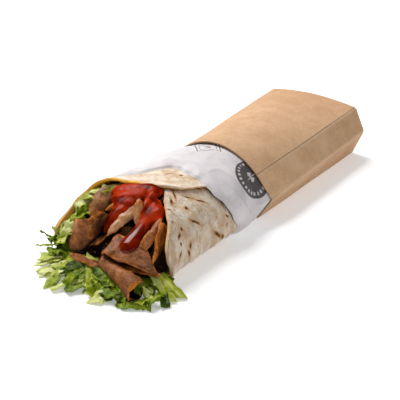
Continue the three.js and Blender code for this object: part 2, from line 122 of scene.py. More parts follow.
# Where the camera looks, in the wrap's frame, and where each light stands, in metres, with its
# width.
AIM = np.array([-11.8, -0.3, 0.0])
LIGHTS = {
    "key": ((-0.68, 0.1, 1.1), 0.7),
    "rim": ((-1.1, 0.5, 0.6), 0.9),
    "fill": ((1.15, 0.3, 0.9), 0.9),
}
FLOOR_REACH, FLOOR_DROP = 6.0, 0.0001  # the floor's half width and how far it lies below zero
FLOOR_GLOW = 0.29  # keeps the floor pale all over

# Front edges as (degrees round the roll, y). Degrees run from the right (0) over the top (90).
PAPER_FRONT = [(-120, -52), (-60, -50), (-15, -31), (5, -38), (32, -44), (88, -42),
               (104, -45), (115, -52), (130, -60), (170, -68), (240, -52)]
# Back edge of the cuff that the paper's front edge is folded into.
CUFF_BACK = [(-120, -36), (-60, -34), (-17, -16.7), (12, -27.3), (30, -32.3), (58, -32.8),
             (82, -32.5), (111, -35), (137, -38.4), (240, -36)]
# The tortilla's angle starts at its inner end, under the outer lap, and falls round the roll.
TORTILLA_FRONT = [(120, -46), (95, -57), (70, -64), (50, -75), (30, -85), (8, -97),
                  (-14, -95.5), (-30, -91), (-90, -95), (-150, -103), (-177, -103), (-190, -90),
                  (-212, -76), (-235, -72), (-268, -69), (-290, -64), (-308, -57), (-321, -43),
                  (-340, -29)]


# ------------------------------------------------------------------ numbers

def lerp(start, end, share):
    """The value a share of the way from start to end."""
    return start + (end - start) * share


def smoothstep(value, low, high):
    """0 below low and 1 above high, with a smooth cubic rise between them."""
    share = np.clip((value - low) / (high - low), 0, 1)
    return share * share * (3 - 2 * share)


def noise(points, size, seed=0):
    """Smooth noise from -1 to 1: random numbers at the corners of cells of that size, mixed
    with a cubic fade."""
    scaled = points / np.asarray(size, float)
    cell = np.floor(scaled)
    share = scaled - cell
    share = share * share * (3 - 2 * share)
    total = np.zeros(scaled.shape[:-1])
    for corner in np.ndindex(2, 2, 2):
        weight = np.prod(np.where(np.array(corner) == 1, share, 1 - share), axis=-1)
        key = (cell + corner) @ SCATTER + SEED_SCATTER * seed
        value = np.sin(key) * SCATTER_REACH
        total += weight * (value - np.floor(value))
    return 2 * total - 1


def ridges(points, size, seed=0):
    """Thin raised lines from 0 to 1, where noise crosses zero."""
    return 1 - np.abs(noise(points, size, seed))


def curve_through(keys, at):
    """A smooth curve through (place, value) keys, read at every place in an array: cubics whose
    slope at a key is that of the line between its two neighbours."""
    place, value = np.array(sorted(keys), float).T
    count = len(place)
    before = np.clip(np.arange(count) - 1, 0, count - 1)
    after = np.clip(np.arange(count) + 1, 0, count - 1)
    slope = (value[after] - value[before]) / (place[after] - place[before])
    at = np.clip(at, place[0], place[-1])
    i = np.clip(np.searchsorted(place, at, side="right") - 1, 0, count - 2)
    span = place[i + 1] - place[i]
    share = (at - place[i]) / span
    rise = share * share * (3 - 2 * share)
    bend = (1 - share) * slope[i] - share * slope[i + 1]
    return lerp(value[i], value[i + 1], rise) + span * share * (1 - share) * bend


def soft_least(sharpness, *values):
    """The least of several arrays, rounded where two of them meet: the sum of each to the
    power -sharpness, to the power -1 / sharpness."""
    return sum(value ** -sharpness for value in values) ** (-1 / sharpness)


def unit(directions):
    """Vectors of length 1 in the same directions."""
    return directions / np.linalg.norm(directions, axis=-1, keepdims=True)


def vectors(x, y, z):
    """Vectors from three arrays of coordinates."""
    return np.stack(np.broadcast_arrays(x, y, z), axis=-1)


def grid(rows, columns):
    """Shares from 0 to 1 across the columns and down the rows of a grid."""
    down, across = np.meshgrid(
        np.linspace(0, 1, rows + 1), np.linspace(0, 1, columns + 1), indexing="ij")
    return across, down


def two_spans(share, split, power, start, middle, end):
    """Places from start to end that pass the middle at the split share. Before it they are
    drawn towards the start by a power of the share, and after it they are even."""
    return np.where(share < split, lerp(start, middle, (share / split) ** power),
                    lerp(middle, end, (share - split) / (1 - split)))


def lift_to(points, height):
    """Lifts the points that lie lower than a height up to it."""
    points[..., 2] = np.maximum(points[..., 2], height)


# ------------------------------------------------------------------ the wrap's sections

def sleeve_sizes(y):
    """The sleeve's section at a distance y behind its front edge: its sizes change evenly
    from the front to the back."""
    share = np.clip(y / SLEEVE_LENGTH, 0, 1)
    return {key: lerp(SLEEVE_FRONT[key], SLEEVE_BACK[key], share) for key in SLEEVE_FRONT}


def ray_to_plane(distance, facing):
    """How far a ray goes to a plane: the plane's distance divided by how squarely the ray
    meets it. A ray that doesn't meet it goes far."""
    return np.where(facing > GRAZING, distance / np.maximum(facing, GRAZING), FAR)


def panel_ray(cos, sin, start, end, inset):
    """How far a ray from the roll's middle goes to a flat panel between two (x, z) corners."""
    dx, dz = end[0] - start[0], end[1] - start[1]
    length = np.hypot(dx, dz)
    distance = (dz * start[0] - dx * (start[1] - ROLL_WIDEST)) / length - inset
    return ray_to_plane(distance, (dz * cos - dx * sin) / length)


def sleeve_radius(angle, y, inset):
    """How far a ray from the roll's middle goes to the sleeve. The panels' distances are
    joined by a soft minimum, which rounds the folds."""
    size = sleeve_sizes(y)
    cos, sin = np.abs(np.cos(angle)), np.sin(angle)
    half_base, half_fold, half_top = size["base"] / 2, size["fold"] / 2, size["top"] / 2
    base = (half_base, 0.0)
    fold = (half_fold, size["fold_up"])
    top = (half_top, size["top_up"])
    floor = panel_ray(cos, sin, (0.0, 0.0), base, inset)
    low_side = panel_ray(cos, sin, base, fold, inset)
    high_side = panel_ray(cos, sin, fold, top, inset)
    # The top is an arc that goes on as a straight line beyond its ends.
    radius = (half_top ** 2 + size["crown"] ** 2) / (2 * size["crown"])
    centre = size["top_up"] + size["crown"] - radius - ROLL_WIDEST
    inner = radius - inset
    arc = sin * centre + np.sqrt(np.maximum(inner ** 2 - (centre * cos) ** 2, 0))
    end_sin = half_top / radius
    end_cos = np.sqrt(1 - end_sin ** 2)
    line = ray_to_plane(inner + end_cos * centre, end_sin * cos + end_cos * sin)
    crown = np.where(arc * cos < inner * end_sin, arc, line)
    crown = np.where(sin > 0, crown, np.maximum(line, 0.1))
    return soft_least(FOLD, floor, low_side, high_side, crown)


def roll_radius(angle, y):
    """Radius of the wrapped roll: a superellipse above and below its widest line, squeezed
    by the sleeve where that holds it, and opened out at the upper left of its mouth."""
    cos, sin = np.abs(np.cos(angle)), np.sin(angle)
    above = sin >= 0
    height = np.where(above, ROLL_UP - ROLL_WIDEST, ROLL_WIDEST - ROLL_BASE)
    power = np.where(above, *ROLL_POWERS)
    free = ((cos / ROLL_HALF) ** power + (np.abs(sin) / height) ** power) ** (-1 / power)
    slack = GRIP_SLACK * (1 - smoothstep(y, GRIP_FROM, GRIP_FULL))
    held = sleeve_radius(angle, y, BOARD + GAP) + slack
    left = smoothstep(np.cos(angle - math.radians(FLARE_TURN)), 0.7, 0.97)
    flare = FLARE * left * (1 - smoothstep(y, -80, -50))
    return soft_least(SQUEEZE, free, held) + flare


def polar(angle, y, radius):
    """Points at a radius and an angle round the roll's middle line."""
    return vectors(radius * np.cos(angle), y, ROLL_WIDEST + radius * np.sin(angle))


def lap_depth(degrees):
    """How deep the tortilla's outer face lies: its first turn runs one layer deeper while the
    outer lap covers it."""
    return SKIN + GAP + smoothstep(degrees, -25, 20) * (LAYER + GAP)


def filling_depth(degrees):
    """How deep the space for the filling starts at an angle round the roll."""
    turned = (degrees + 180) % 360 - 180
    covered = smoothstep(turned, -30, 15) * (1 - smoothstep(turned, 126, 145))
    return SKIN + LAYER + 3 * GAP + covered * (LAYER + GAP)


def keep_inside(points, depth, free_right):
    """Draws points that lie behind the tortilla's front edge in, to a depth inside its inner
    face. Both of its turns count. With free_right at 1, points on the right side stay."""
    x, y, up = points[..., 0], points[..., 1], points[..., 2] - ROLL_WIDEST
    angle = np.arctan2(up, x)
    degrees = np.degrees(angle)
    # The angle is read on the sheet's last turn and on its first one.
    front = np.minimum(curve_through(TORTILLA_FRONT, (degrees - 20) % 360 - 340),
                       curve_through(TORTILLA_FRONT, (degrees + 240) % 360 - 240))
    free = 1 - smoothstep(y - front, -2.5, 0.5)
    free = np.maximum(free, free_right * smoothstep(x, 5, 15))
    limit = roll_radius(angle, y) - filling_depth(degrees) - depth + FREE_REACH * free
    share = np.minimum(limit / np.maximum(np.hypot(x, up), 0.1), 1)
    return vectors(x * share, y, ROLL_WIDEST + up * share)


def pile_front(z):
    """Where the leaning face of the filling is at a height z."""
    return PILE_TOP_AT + (z - PILE_TOP) / PILE_SLOPE


# ------------------------------------------------------------------ meshes

def shell_faces(rows, columns, closed=False):
    """The quads of two skins over one grid, one under the other, and of the rim that joins
    them at each open border. A closed grid joins its last column to its first."""
    across = columns if closed else columns + 1

    def number(side, row, column):
        """The number of a point."""
        return (side * (rows + 1) + row) * across + column % across

    def quads(*corners):
        """Faces from four arrays of point numbers."""
        return np.stack(np.broadcast_arrays(*corners), axis=-1).reshape(-1, 4)

    row, column = np.meshgrid(np.arange(rows), np.arange(columns), indexing="ij")
    faces = [
        quads(number(0, row, column), number(0, row, column + 1),
              number(0, row + 1, column + 1), number(0, row + 1, column)),
        quads(number(1, row + 1, column), number(1, row + 1, column + 1),
              number(1, row, column + 1), number(1, row, column)),
    ]
    row, column = np.arange(rows), np.arange(columns)
    faces += [
        quads(number(0, 0, column), number(1, 0, column),
              number(1, 0, column + 1), number(0, 0, column + 1)),
        quads(number(0, rows, column + 1), number(1, rows, column + 1),
              number(1, rows, column), number(0, rows, column)),
    ]
    if not closed:
        faces += [
            quads(number(0, row + 1, 0), number(1, row + 1, 0),
                  number(1, row, 0), number(0, row, 0)),
            quads(number(0, row, columns), number(1, row, columns),
                  number(1, row + 1, columns), number(0, row + 1, columns)),
        ]
    return [np.concatenate(faces)]


def capped_faces(rings, sides):
    """The quads between a stack of closed rings, and the fans that close it at two poles,
    which are the last two points."""
    ring, side = np.meshgrid(np.arange(rings - 1), np.arange(sides), indexing="ij")
    after = (side + 1) % sides
    quads = np.stack([ring * sides + side, ring * sides + after,
                      (ring + 1) * sides + after, (ring + 1) * sides + side], axis=-1)
    side = np.arange(sides)
    after = (side + 1) % sides
    last = (rings - 1) * sides
    first_pole = np.full(sides, rings * sides)
    fans = [np.stack([first_pole, after, side], axis=-1),
            np.stack([first_pole + 1, last + side, last + after], axis=-1)]
    return [quads.reshape(-1, 4), np.concatenate(fans)]


def volume(points, faces):
    """Signed volume inside closed faces: above zero if they face out."""
    total = 0.0
    for group in faces:
        corner = points[group]
        for second in range(1, group.shape[1] - 1):
            wedge = np.cross(corner[:, second], corner[:, second + 1])
            total += np.sum(corner[:, 0] * wedge)
    return total


class Shape:
    """The closed shells of one piece, gathered into one mesh, with the numbers that its
    finish reads from each point."""

    def __init__(self):
        self.points = []
        self.faces = []
        self.marks = {}
        self.count = 0

    def add(self, points, faces, **marks):
        """Adds one closed shell, turned so that it faces out."""
        points = points.reshape(-1, 3)
        if volume(points, faces) < 0:
            faces = [group[:, ::-1] for group in faces]
        self.points.append(points)
        self.faces += [group + self.count for group in faces]
        self.count += len(points)
        for name, values in marks.items():
            self.marks.setdefault(name, []).append(np.asarray(values, float))

    def add_shell(self, skins, closed=False, **marks):
        """Adds the shell between skins[0] and skins[1], two (row, column, 3) grids."""
        rows, columns = skins.shape[1] - 1, skins.shape[2] - (0 if closed else 1)
        flat = {}
        for name, values in marks.items():
            wide = np.broadcast_to(values, skins.shape[:3] + np.shape(values)[3:])
            flat[name] = wide.reshape(-1, *np.shape(values)[3:])
        self.add(skins, shell_faces(rows, columns, closed), **flat)

    def add_capped(self, rings, poles, **marks):
        """Adds the solid skinned over a (ring, side, 3) stack and closed by two poles, whose
        marks are 0."""
        points = np.concatenate([rings.reshape(-1, 3), poles])
        flat = {name: np.append(np.broadcast_to(values, rings.shape[:2]).ravel(), [0.0, 0.0])
                for name, values in marks.items()}
        self.add(points, capped_faces(*rings.shape[:2]), **flat)

    def build(self, name, material, slot, nodes, sharp=60.0):
        """Makes the mesh object, rides it on the root body and hides the nodes it replaces."""
        mesh = bpy.data.meshes.new(name)
        points = (np.concatenate(self.points) + START) * MM
        corners = np.concatenate([group.ravel() for group in self.faces])
        sizes = np.concatenate([np.full(len(group), group.shape[1]) for group in self.faces])
        starts = np.cumsum(sizes) - sizes
        mesh.vertices.add(len(points))
        mesh.vertices.foreach_set("co", points.astype(np.float32).ravel())
        mesh.loops.add(len(corners))
        mesh.loops.foreach_set("vertex_index", corners.astype(np.int32))
        mesh.polygons.add(len(sizes))
        mesh.polygons.foreach_set("loop_start", starts.astype(np.int32))
        mesh.polygons.foreach_set("use_smooth", np.ones(len(sizes), bool))
        mesh.update(calc_edges=True)
        for mark, values in self.marks.items():
            values = np.concatenate(values).astype(np.float32)
            kind, field = ("FLOAT", "value") if values.ndim == 1 else ("FLOAT_VECTOR", "vector")
            layer = mesh.attributes.new(mark, kind, "POINT")
            layer.data.foreach_set(field, values.ravel())
        if mesh.validate():
            raise RuntimeError(f"{name} had faces that Blender had to repair")
        mesh.set_sharp_from_angle(angle=math.radians(sharp))
        mesh.materials.append(material)
        piece = bpy.data.objects.new(name, mesh)
        bpy.context.scene.collection.objects.link(piece)
        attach(piece, "root")
        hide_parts(*nodes)
        return piece


# ------------------------------------------------------------------ finishes

class Value:
    """A number or vector that varies over a surface. Arithmetic on a number adds Math nodes
    to its finish."""

    def __init__(self, finish, socket):
        self.finish = finish
        self.socket = socket

    def __add__(self, other):
        return self.finish.math("ADD", self, other)

    __radd__ = __add__

    def __sub__(self, other):
        return self.finish.math("SUBTRACT", self, other)

    def __rsub__(self, other):
        return self.finish.math("SUBTRACT", other, self)

    def __mul__(self, other):
        return self.finish.math("MULTIPLY", self, other)

    __rmul__ = __mul__

    def __truediv__(self, other):
        return self.finish.math("DIVIDE", self, other)

    def __neg__(self):
        return self.finish.math("MULTIPLY", self, -1.0)


class Finish:
    """One material: its node tree, and short ways to add nodes to it."""

    def __init__(self, name):
        self.material = bpy.data.materials.new(name)
        self.material.use_nodes = True
        self.tree = self.material.node_tree
        self.tree.nodes.clear()
        self.place = self.node("ShaderNodeTexCoord", output="Object")

    def node(self, kind, settings=None, inputs=None, output=0):
        """Adds a node, sets its settings, fills its sockets, which are named by number, name
        or identifier, and returns one of its outputs."""
        node = self.tree.nodes.new(kind)
        for name, value in (settings or {}).items():
            if name == "stops":
                self.set_stops(node.color_ramp.elements, value)
            else:
                setattr(node, name, value)
        for key, value in (inputs or {}).items():
            socket = self.find(node.inputs, key)
            if isinstance(value, Value):
                self.tree.links.new(value.socket, socket)
            elif socket.type == "RGBA":
                socket.default_value = (*value[:3], 1.0)
            else:
                socket.default_value = value
        return Value(self, self.find(node.outputs, output))

    @staticmethod
    def find(sockets, key):
        """The socket with a number, a name or an identifier."""
        if isinstance(key, int):
            return sockets[key]
        return next(socket for socket in sockets if key in (socket.identifier, socket.name))

    @staticmethod
    def set_stops(elements, stops):
        """Gives a colour ramp its (position, colour) stops."""
        while len(elements) < len(stops):
            elements.new(1.0)
        for element, (position, colour) in zip(elements, stops):
            element.position = position
            element.color = (*colour[:3], 1.0)

    def math(self, operation, *values):
        """One Math node on numbers or values."""
        return self.node("ShaderNodeMath", {"operation": operation}, dict(enumerate(values)))

    def most(self, *values):
        """The largest of several numbers."""
        return reduce(lambda first, second: self.math("MAXIMUM", first, second), values)

    def least(self, *values):
        """The smallest of several numbers."""
        return reduce(lambda first, second: self.math("MINIMUM", first, second), values)

    def rise(self, value, low, high):
        """0 below low and 1 above high, with a smooth rise between them."""
        return self.node("ShaderNodeMapRange", {"interpolation_type": "SMOOTHSTEP"},
                         {"Value": value, "From Min": low, "From Max": high})

    def axis(self, name, middle):
        """How far each place lies along X, Y or Z from a middle, both in millimetres."""
        return self.node("ShaderNodeSeparateXYZ", None, {0: self.place}, name) / MM - middle

    def mark(self, name, output="Fac"):
        """A number, or with output="Vector" a vector, marked on the piece's points."""
        return self.node("ShaderNodeAttribute", {"attribute_name": name}, output=output)

    def stretched(self, size, seed=0.0, vector=None):
        """Coordinates divided by a size in millimetres: one number, or one for each axis. A
        vector that isn't given is the place on the piece, which is in metres."""
        unit_length = MM if vector is None else 1.0
        scale = [1 / (s * unit_length) for s in np.broadcast_to(size, 3)]
        return self.node("ShaderNodeVectorMath", {"operation": "MULTIPLY_ADD"},
                         {0: vector or self.place, 1: scale, 2: (seed, 0.7 * seed, 1.3 * seed)})

    def noise(self, size, seed=0.0, detail=2.0, roughness=0.5, vector=None, output=0):
        """Noise round 0.5 with lumps about that many millimetres across."""
        return self.node("ShaderNodeTexNoise", None, {
            "Vector": self.stretched(size, seed, vector), "Scale": 1.0, "Detail": detail,
            "Roughness": roughness}, output)

    def cells(self, size, seed=0.0, vector=None):
        """For cells about that size: the distance from the middle of each, and its number."""
        settings = {"feature": "F1"}
        inputs = {"Vector": self.stretched(size, seed, vector), "Scale": 1.0}
        distance = self.node("ShaderNodeTexVoronoi", settings, inputs, "Distance")
        colour = Value(self, distance.socket.node.outputs["Color"])
        return distance, self.node("ShaderNodeSeparateColor", None, {0: colour})

    def blend(self, share, first, second):
        """Mixes two colours: the first at a share of 0 and the second at 1."""
        return self.node("ShaderNodeMix", {"data_type": "RGBA"},
                         {"Factor_Float": share, "A_Color": first, "B_Color": second},
                         "Result_Color")

    def bump(self, height, distance, strength):
        """Turns a height from 0 to 1 into a bent normal, for relief that many mm deep."""
        return self.node("ShaderNodeBump", None, {
            "Height": height, "Distance": distance * MM, "Strength": strength})

    def close(self, **inputs):
        """Ends the finish with one Principled shader and returns the material."""
        sockets = {name.replace("_", " ").title().replace("Ior", "IOR"): value
                   for name, value in inputs.items()}
        shader = self.node("ShaderNodeBsdfPrincipled", None, sockets)
        end = self.tree.nodes.new("ShaderNodeOutputMaterial")
        self.tree.links.new(shader.socket, end.inputs["Surface"])
        return self.material


def srgb(code):
    """Linear red, green and blue of a six-digit colour code."""
    parts = [int(code[i:i + 2], 16) / 255 for i in (0, 2, 4)]
    return tuple(p / 12.92 if p <= 0.04045 else ((p + 0.055) / 1.055) ** 2.4 for p in parts)


def colour(name, description, code):
    """A colour property."""
    return FloatVectorProperty(name=name, description=description, subtype="COLOR", size=3,
                               min=0.0, max=1.0, default=srgb(code))


def kraft_finish(colours):
    """Unbleached board: fine fibres along the sleeve, soft mottling, painted shade that darkens
    it a little towards its far end, pale worn folds and a painted shadow line under the cut
    edge of the overlap."""
    finish = Finish("kraft_board")
    fibre = finish.noise((0.35, 3.5, 0.35), 1.0, 4.0, 0.7)
    fleck = finish.noise((0.7, 1.6, 0.7), 5.0, 2.0, 0.6)
    mottle = finish.noise(15.0, 9.0, 6.0, 0.8)
    along = finish.axis("Y", START[1])
    shade = finish.rise(0.5 * mottle + 0.25 * fibre + 0.25 * fleck, 0.37, 0.63)
    # Painted shade: the board darkens towards the sleeve's far end.
    shade = finish.most(shade - 0.3 * finish.rise(along, 60.0, 125.0), 0.0)
    base = finish.blend(shade, colours.kraft_dark, colours.kraft)
    dark_fleck = finish.rise(fleck, 0.66, 0.76) * 0.35
    base = finish.blend(dark_fleck, base, colours.kraft_fibre_and_shadow)
    base = finish.blend(finish.mark("fold") * (0.12 + 0.3 * fibre), base, colours.kraft_worn)
    # Painted shadow: a dark line under the cut edge of the sheet that laps over the seam.
    base = finish.blend(finish.mark("seam") * 0.85, base, colours.kraft_fibre_and_shadow)
    relief = 0.6 * fibre + 0.4 * mottle
    return finish.close(base_color=base, roughness=0.82 + 0.1 * fibre, specular_ior_level=0.25,
                        normal=finish.bump(relief, 0.12, 0.5))


def paper_finish(colours):
    """Thin greaseproof paper: cool white with faint creases, a painted shadow line behind the
    folded cuff and a little print: a dark disc with a ring of dashes and a sprig, and a few
    thin plain lines."""
    finish = Finish("greaseproof_paper")
    cloud = finish.noise(14.0, 2.0, 3.0, 0.55)
    grain = finish.noise(1.2, 6.0, 3.0, 0.6)
    base = finish.blend(finish.rise(0.8 * cloud + 0.2 * grain, 0.35, 0.65),
                        colours.paper_shade, colours.paper)
    # Painted shadow behind the cuff's back edge, in the ink colour.
    base = finish.blend(finish.mark("shade") * 0.2, base, colours.ink)
    base = finish.blend(paper_print(finish), base, colours.ink)
    relief = 0.5 * cloud + 0.5 * grain
    return finish.close(base_color=base, roughness=0.55, specular_ior_level=0.3,
                        normal=finish.bump(relief, 0.25, 0.35))


def paper_print(finish):
    """How much ink lies at each place. Around is the distance round the roll from its right
    side and along is the distance from the sleeve's edge, both in millimetres."""
    along = finish.axis("Y", START[1])
    turn = finish.math("ARCTAN2", finish.axis("Z", ROLL_WIDEST), finish.axis("X", START[0]))
    around = turn * PRINT_RADIUS
    rough = (finish.noise(0.6, 3.0, 2.0) - 0.5) * 0.5
    soft = 0.12

    def size(value):
        """A value without its sign."""
        return finish.math("ABSOLUTE", value)

    def below(value, limit):
        """1 where a distance is under a limit, with an edge as soft as printing."""
        return 1 - finish.rise(value + rough, limit - soft, limit + soft)

    def line(distance, width):
        """1 on a line of that width."""
        return below(size(distance), width / 2)

    # The disc, half under the sleeve, with a ring of dashes and a sprig of two leaves.
    across, down = around - 13.5, (along + 4.8) * 0.74
    reach = finish.math("SQRT", across * across + down * down)
    turn = finish.math("ARCTAN2", down, across)
    dashes = below(finish.math("SINE", turn * 22.0), 0.1) * line(reach - 9.8, 1.7)
    leaves = [below(size(across + side) + 0.28 * down * down, 1.5) for side in (-1.9, 1.9)]
    stem = line(across, 0.5) * line(down, 8.5)
    disc = below(reach, 12.2) * (1 - finish.most(dashes, *leaves, stem) * 0.8)
    # Thin nested diamonds at the sleeve's edge on top, and faint hoops low on the right side.
    reach = size(around - 57.0) * 0.8 + size(along + 5.0)
    diamonds = finish.most(line(reach - 11.0, 0.9), line(reach - 8.0, 0.5), below(reach, 2.4))
    low = line(around + 9.0, 14.0) * line(along + 10.0, 18.0)
    hoops = line(finish.math("PINGPONG", along + 0.15 * around, 2.4) - 1.2, 0.3) * low
    spot = line(size(around - 36.0) + size(along + 13.0) - 2.4, 0.5)
    return finish.most(disc * 0.92, diamonds * 0.9, hoops * 0.3, spot * 0.22)


# Toasted streaks on the tortilla: degrees round its sheet, y, half length, half width, turn
# of the streak from the sheet's direction in degrees.
STREAKS = [
    (91, -51, 4.4, 0.35, -36), (73, -47, 1.4, 0.7, -20), (61, -60, 0.8, 0.3, -10),
    (53, -64, 5.0, 0.55, 34), (47, -71, 2.6, 1.0, 37), (41, -59, 2.2, 0.4, -32),
    (30, -54, 4.0, 0.55, -48), (32, -67, 1.1, 1.0, 0), (40, -78, 1.4, 0.5, -20),
    (17, -68, 3.6, 0.7, -46), (28, -83, 0.8, 0.7, 0), (37, -75, 0.7, 0.5, 0),
    (14, -84, 1.8, 0.6, 42), (7, -85, 1.0, 0.5, 10), (0, -77, 1.9, 1.0, 8),
    (-6, -79, 1.6, 0.7, -8), (-3, -87, 2.4, 0.5, 31), (-7, -51, 3.6, 1.0, -47),
    (-13, -46, 2.4, 1.1, -40), (4, -40, 1.5, 0.6, -44), (-4, -41, 1.1, 0.5, 30),
    (44, -48, 2.6, 0.5, -44), (18, -80, 0.9, 0.5, 16), (-20, -70, 2.4, 0.7, -30),
    (-271, -50, 2.6, 0.35, -36), (-288, -47, 1.2, 0.6, -20),
]


def tortilla_finish(colours):
    """Soft floury dough: pale, with translucent patches, fine wrinkles, golden blisters with
    burnt middles, and a stained inner face near the open end."""
    finish = Finish("toasted_tortilla")
    sheet = finish.mark("sheet", "Vector")
    inner = finish.mark("inner")
    rim = finish.mark("rim")
    cloud = finish.noise((9.0, 6.0, 9.0), 1.0, 3.0, 0.6, sheet)
    flour = finish.noise((1.3, 0.8, 1.0), 4.0, 4.0, 0.7, sheet)
    base = finish.blend(finish.rise(0.75 * cloud + 0.25 * flour, 0.36, 0.62),
                        colours.tortilla_dough, colours.tortilla)
    # Ragged coordinates for everything that is toasted: noise, which lies round 0.5, sways
    # them, so each streak moves along by half of the sway.
    sway = (1.5, 1.1)
    wobble = finish.noise(1.6, 8.0, 3.0, 0.6, sheet, "Color")
    shifted = finish.node("ShaderNodeVectorMath", {"operation": "MULTIPLY_ADD"},
                          {0: wobble, 1: (*sway, 0.0), 2: sheet})
    distances = []
    for degrees, y, half_length, half_width, turn in STREAKS:
        along_sheet = math.radians(degrees) * SHEET_RADIUS
        local = finish.node("ShaderNodeMapping", {"vector_type": "TEXTURE"}, {
            "Vector": shifted,
            "Location": (along_sheet + sway[0] / 2, y + sway[1] / 2, 0.0),
            "Rotation": (0.0, 0.0, math.radians(turn)),
            "Scale": (half_length, half_width, FAR)})
        distances.append(finish.node("ShaderNodeVectorMath", {"operation": "LENGTH"},
                                     {0: local}, "Value"))
    reach = finish.least(*distances)
    spread, number = finish.cells((6.5, 4.6, 9.0), 2.0, shifted)
    chosen = finish.rise(number, 0.60, 0.66) * (1 - inner)
    blister = (1 - finish.rise(spread, 0.05, 0.26)) * chosen
    golden = finish.most(1 - finish.rise(reach, 0.9, 2.0), blister * 0.8)
    small, pick = finish.cells((2.6, 1.9, 9.0), 7.0, shifted)
    fleck = (1 - finish.rise(small, 0.08, 0.3)) * finish.rise(pick, 0.8, 0.84)
    golden = finish.most(golden, fleck * finish.rise(cloud, 0.44, 0.58) * 0.6)
    burnt = finish.most(1 - finish.rise(reach, 0.5, 1.0),
                        (1 - finish.rise(spread, 0.02, 0.12)) * chosen
                        * finish.rise(number, 0.72, 0.8) * 0.75)
    base = finish.blend(golden * 0.85, base, colours.tortilla_golden)
    base = finish.blend(burnt * 0.92, base, colours.tortilla_burnt)
    base = finish.blend(finish.rise(rim, 0.3, 1.0) * 0.08, base, colours.tortilla_golden)
    stain = finish.most(inner * (0.75 + 0.6 * (cloud - 0.5)), finish.mark("oiled"))
    base = finish.blend(stain, base, colours.tortilla_stained)
    wrinkle = finish.noise((4.6, 2.1, 3.0), 12.0, 2.0, 0.55, shifted)
    # The lap on top is smoother than the rest of the sheet.
    around = finish.node("ShaderNodeSeparateXYZ", None, {0: sheet}, "X")
    smoother = (1 - 0.8 * finish.rise(-around, 128.0, 144.0)) * (1 - 0.9 * rim)
    folds = finish.noise((6.5, 2.8, 3.0), 21.0, 2.0, 0.5, shifted)
    pucker = finish.math("ABSOLUTE", folds - 0.5)
    relief = ((0.7 * wrinkle + 0.1 * flour + 0.8 * pucker) * smoother + 0.1 * cloud
              - 0.15 * burnt)
    return finish.close(base_color=base, roughness=0.75 - 0.15 * golden,
                        specular_ior_level=0.3, subsurface_weight=0.3,
                        subsurface_radius=(1.0, 0.7, 0.35), subsurface_scale=0.002,
                        normal=finish.bump(relief, 3.4, 1.0))


def meat_finish(colours):
    """Grilled shaved meat: grey-brown cut faces with dark pores and pale threads of fat, and
    orange-brown crust along the edges, moist all over. Browned patches and painted shade,
    carried by the tone mark, darken the cut faces."""
    finish = Finish("shaved_meat")
    crust = finish.mark("crust")
    tone = finish.mark("tone")
    lump = finish.noise(3.2, 1.0, 4.0, 0.65)
    grain = finish.noise(0.7, 4.0, 3.0, 0.65)
    cut = finish.blend(finish.rise(0.6 * lump + 0.4 * grain, 0.36, 0.64),
                       colours.meat_dark, colours.meat)
    browned = finish.rise(finish.noise(9.0, 12.0, 3.0, 0.6), 0.48, 0.66) * 0.45
    cut = finish.blend(finish.rise(-tone, 0.0, 1.0), cut, colours.meat_fat)
    # Painted shade from the tone mark, and browned patches, darken the cut face towards
    # near-black.
    cut = finish.blend(finish.most(tone, browned), cut, colours.meat_browned_and_shade)
    pore, number = finish.cells(1.5, 2.0)
    pores = (1 - finish.rise(pore, 0.1, 0.3)) * finish.rise(number, 0.62, 0.7)
    cut = finish.blend(pores * 0.75, cut, colours.meat_pore)
    fat = finish.rise(finish.noise((5.0, 1.0, 1.0), 6.0, 3.0), 0.62, 0.72)
    cut = finish.blend(fat * 0.3, cut, colours.meat_fat)
    brown = finish.rise(crust + 0.3 * (grain - 0.5) + 0.5 * (lump - 0.5), 0.3, 0.9)
    rind = finish.blend(finish.rise(0.6 * lump + 0.4 * grain, 0.34, 0.64),
                        colours.crust_dark, colours.crust)
    base = finish.blend(brown, cut, rind)
    relief = 0.5 * grain + 0.5 * lump - 0.5 * pores
    return finish.close(base_color=base, roughness=0.5 - 0.1 * brown + 0.4 * tone,
                        specular_ior_level=0.2, coat_weight=0.08 - 0.08 * tone,
                        coat_roughness=0.22,
                        normal=finish.bump(relief, 0.55, 0.6))


def sauce_finish(colours):
    """Thick glossy chilli and tomato sauce, redder where it is thin, with wet streaks along
    the way it runs."""
    finish = Finish("red_sauce")
    cloud = finish.noise(6.0, 3.0, 3.0, 0.5)
    flow = finish.noise((2.0, 9.0, 5.0), 6.0, 2.0, 0.5)
    pulp = finish.noise(0.8, 5.0, 2.0, 0.6)
    along = finish.axis("Y", START[1])
    drop = finish.rise(-along, 90.0, 99.0)
    thin = finish.rise(cloud, 0.35, 0.65) * (1 - 0.75 * drop)
    base = finish.blend(thin, colours.sauce_deep, colours.sauce)
    relief = 0.4 * cloud + 0.4 * flow + 0.2 * pulp
    wet = finish.rise(flow, 0.52, 0.64) * 0.09 + drop * 0.45
    return finish.close(base_color=base, roughness=0.16 + 0.1 * cloud,
                        specular_ior_level=0.03, subsurface_weight=0.1,
                        subsurface_radius=(1.0, 0.15, 0.05), subsurface_scale=0.002,
                        coat_weight=wet, coat_roughness=0.06,
                        normal=finish.bump(relief, 0.25, 0.25))


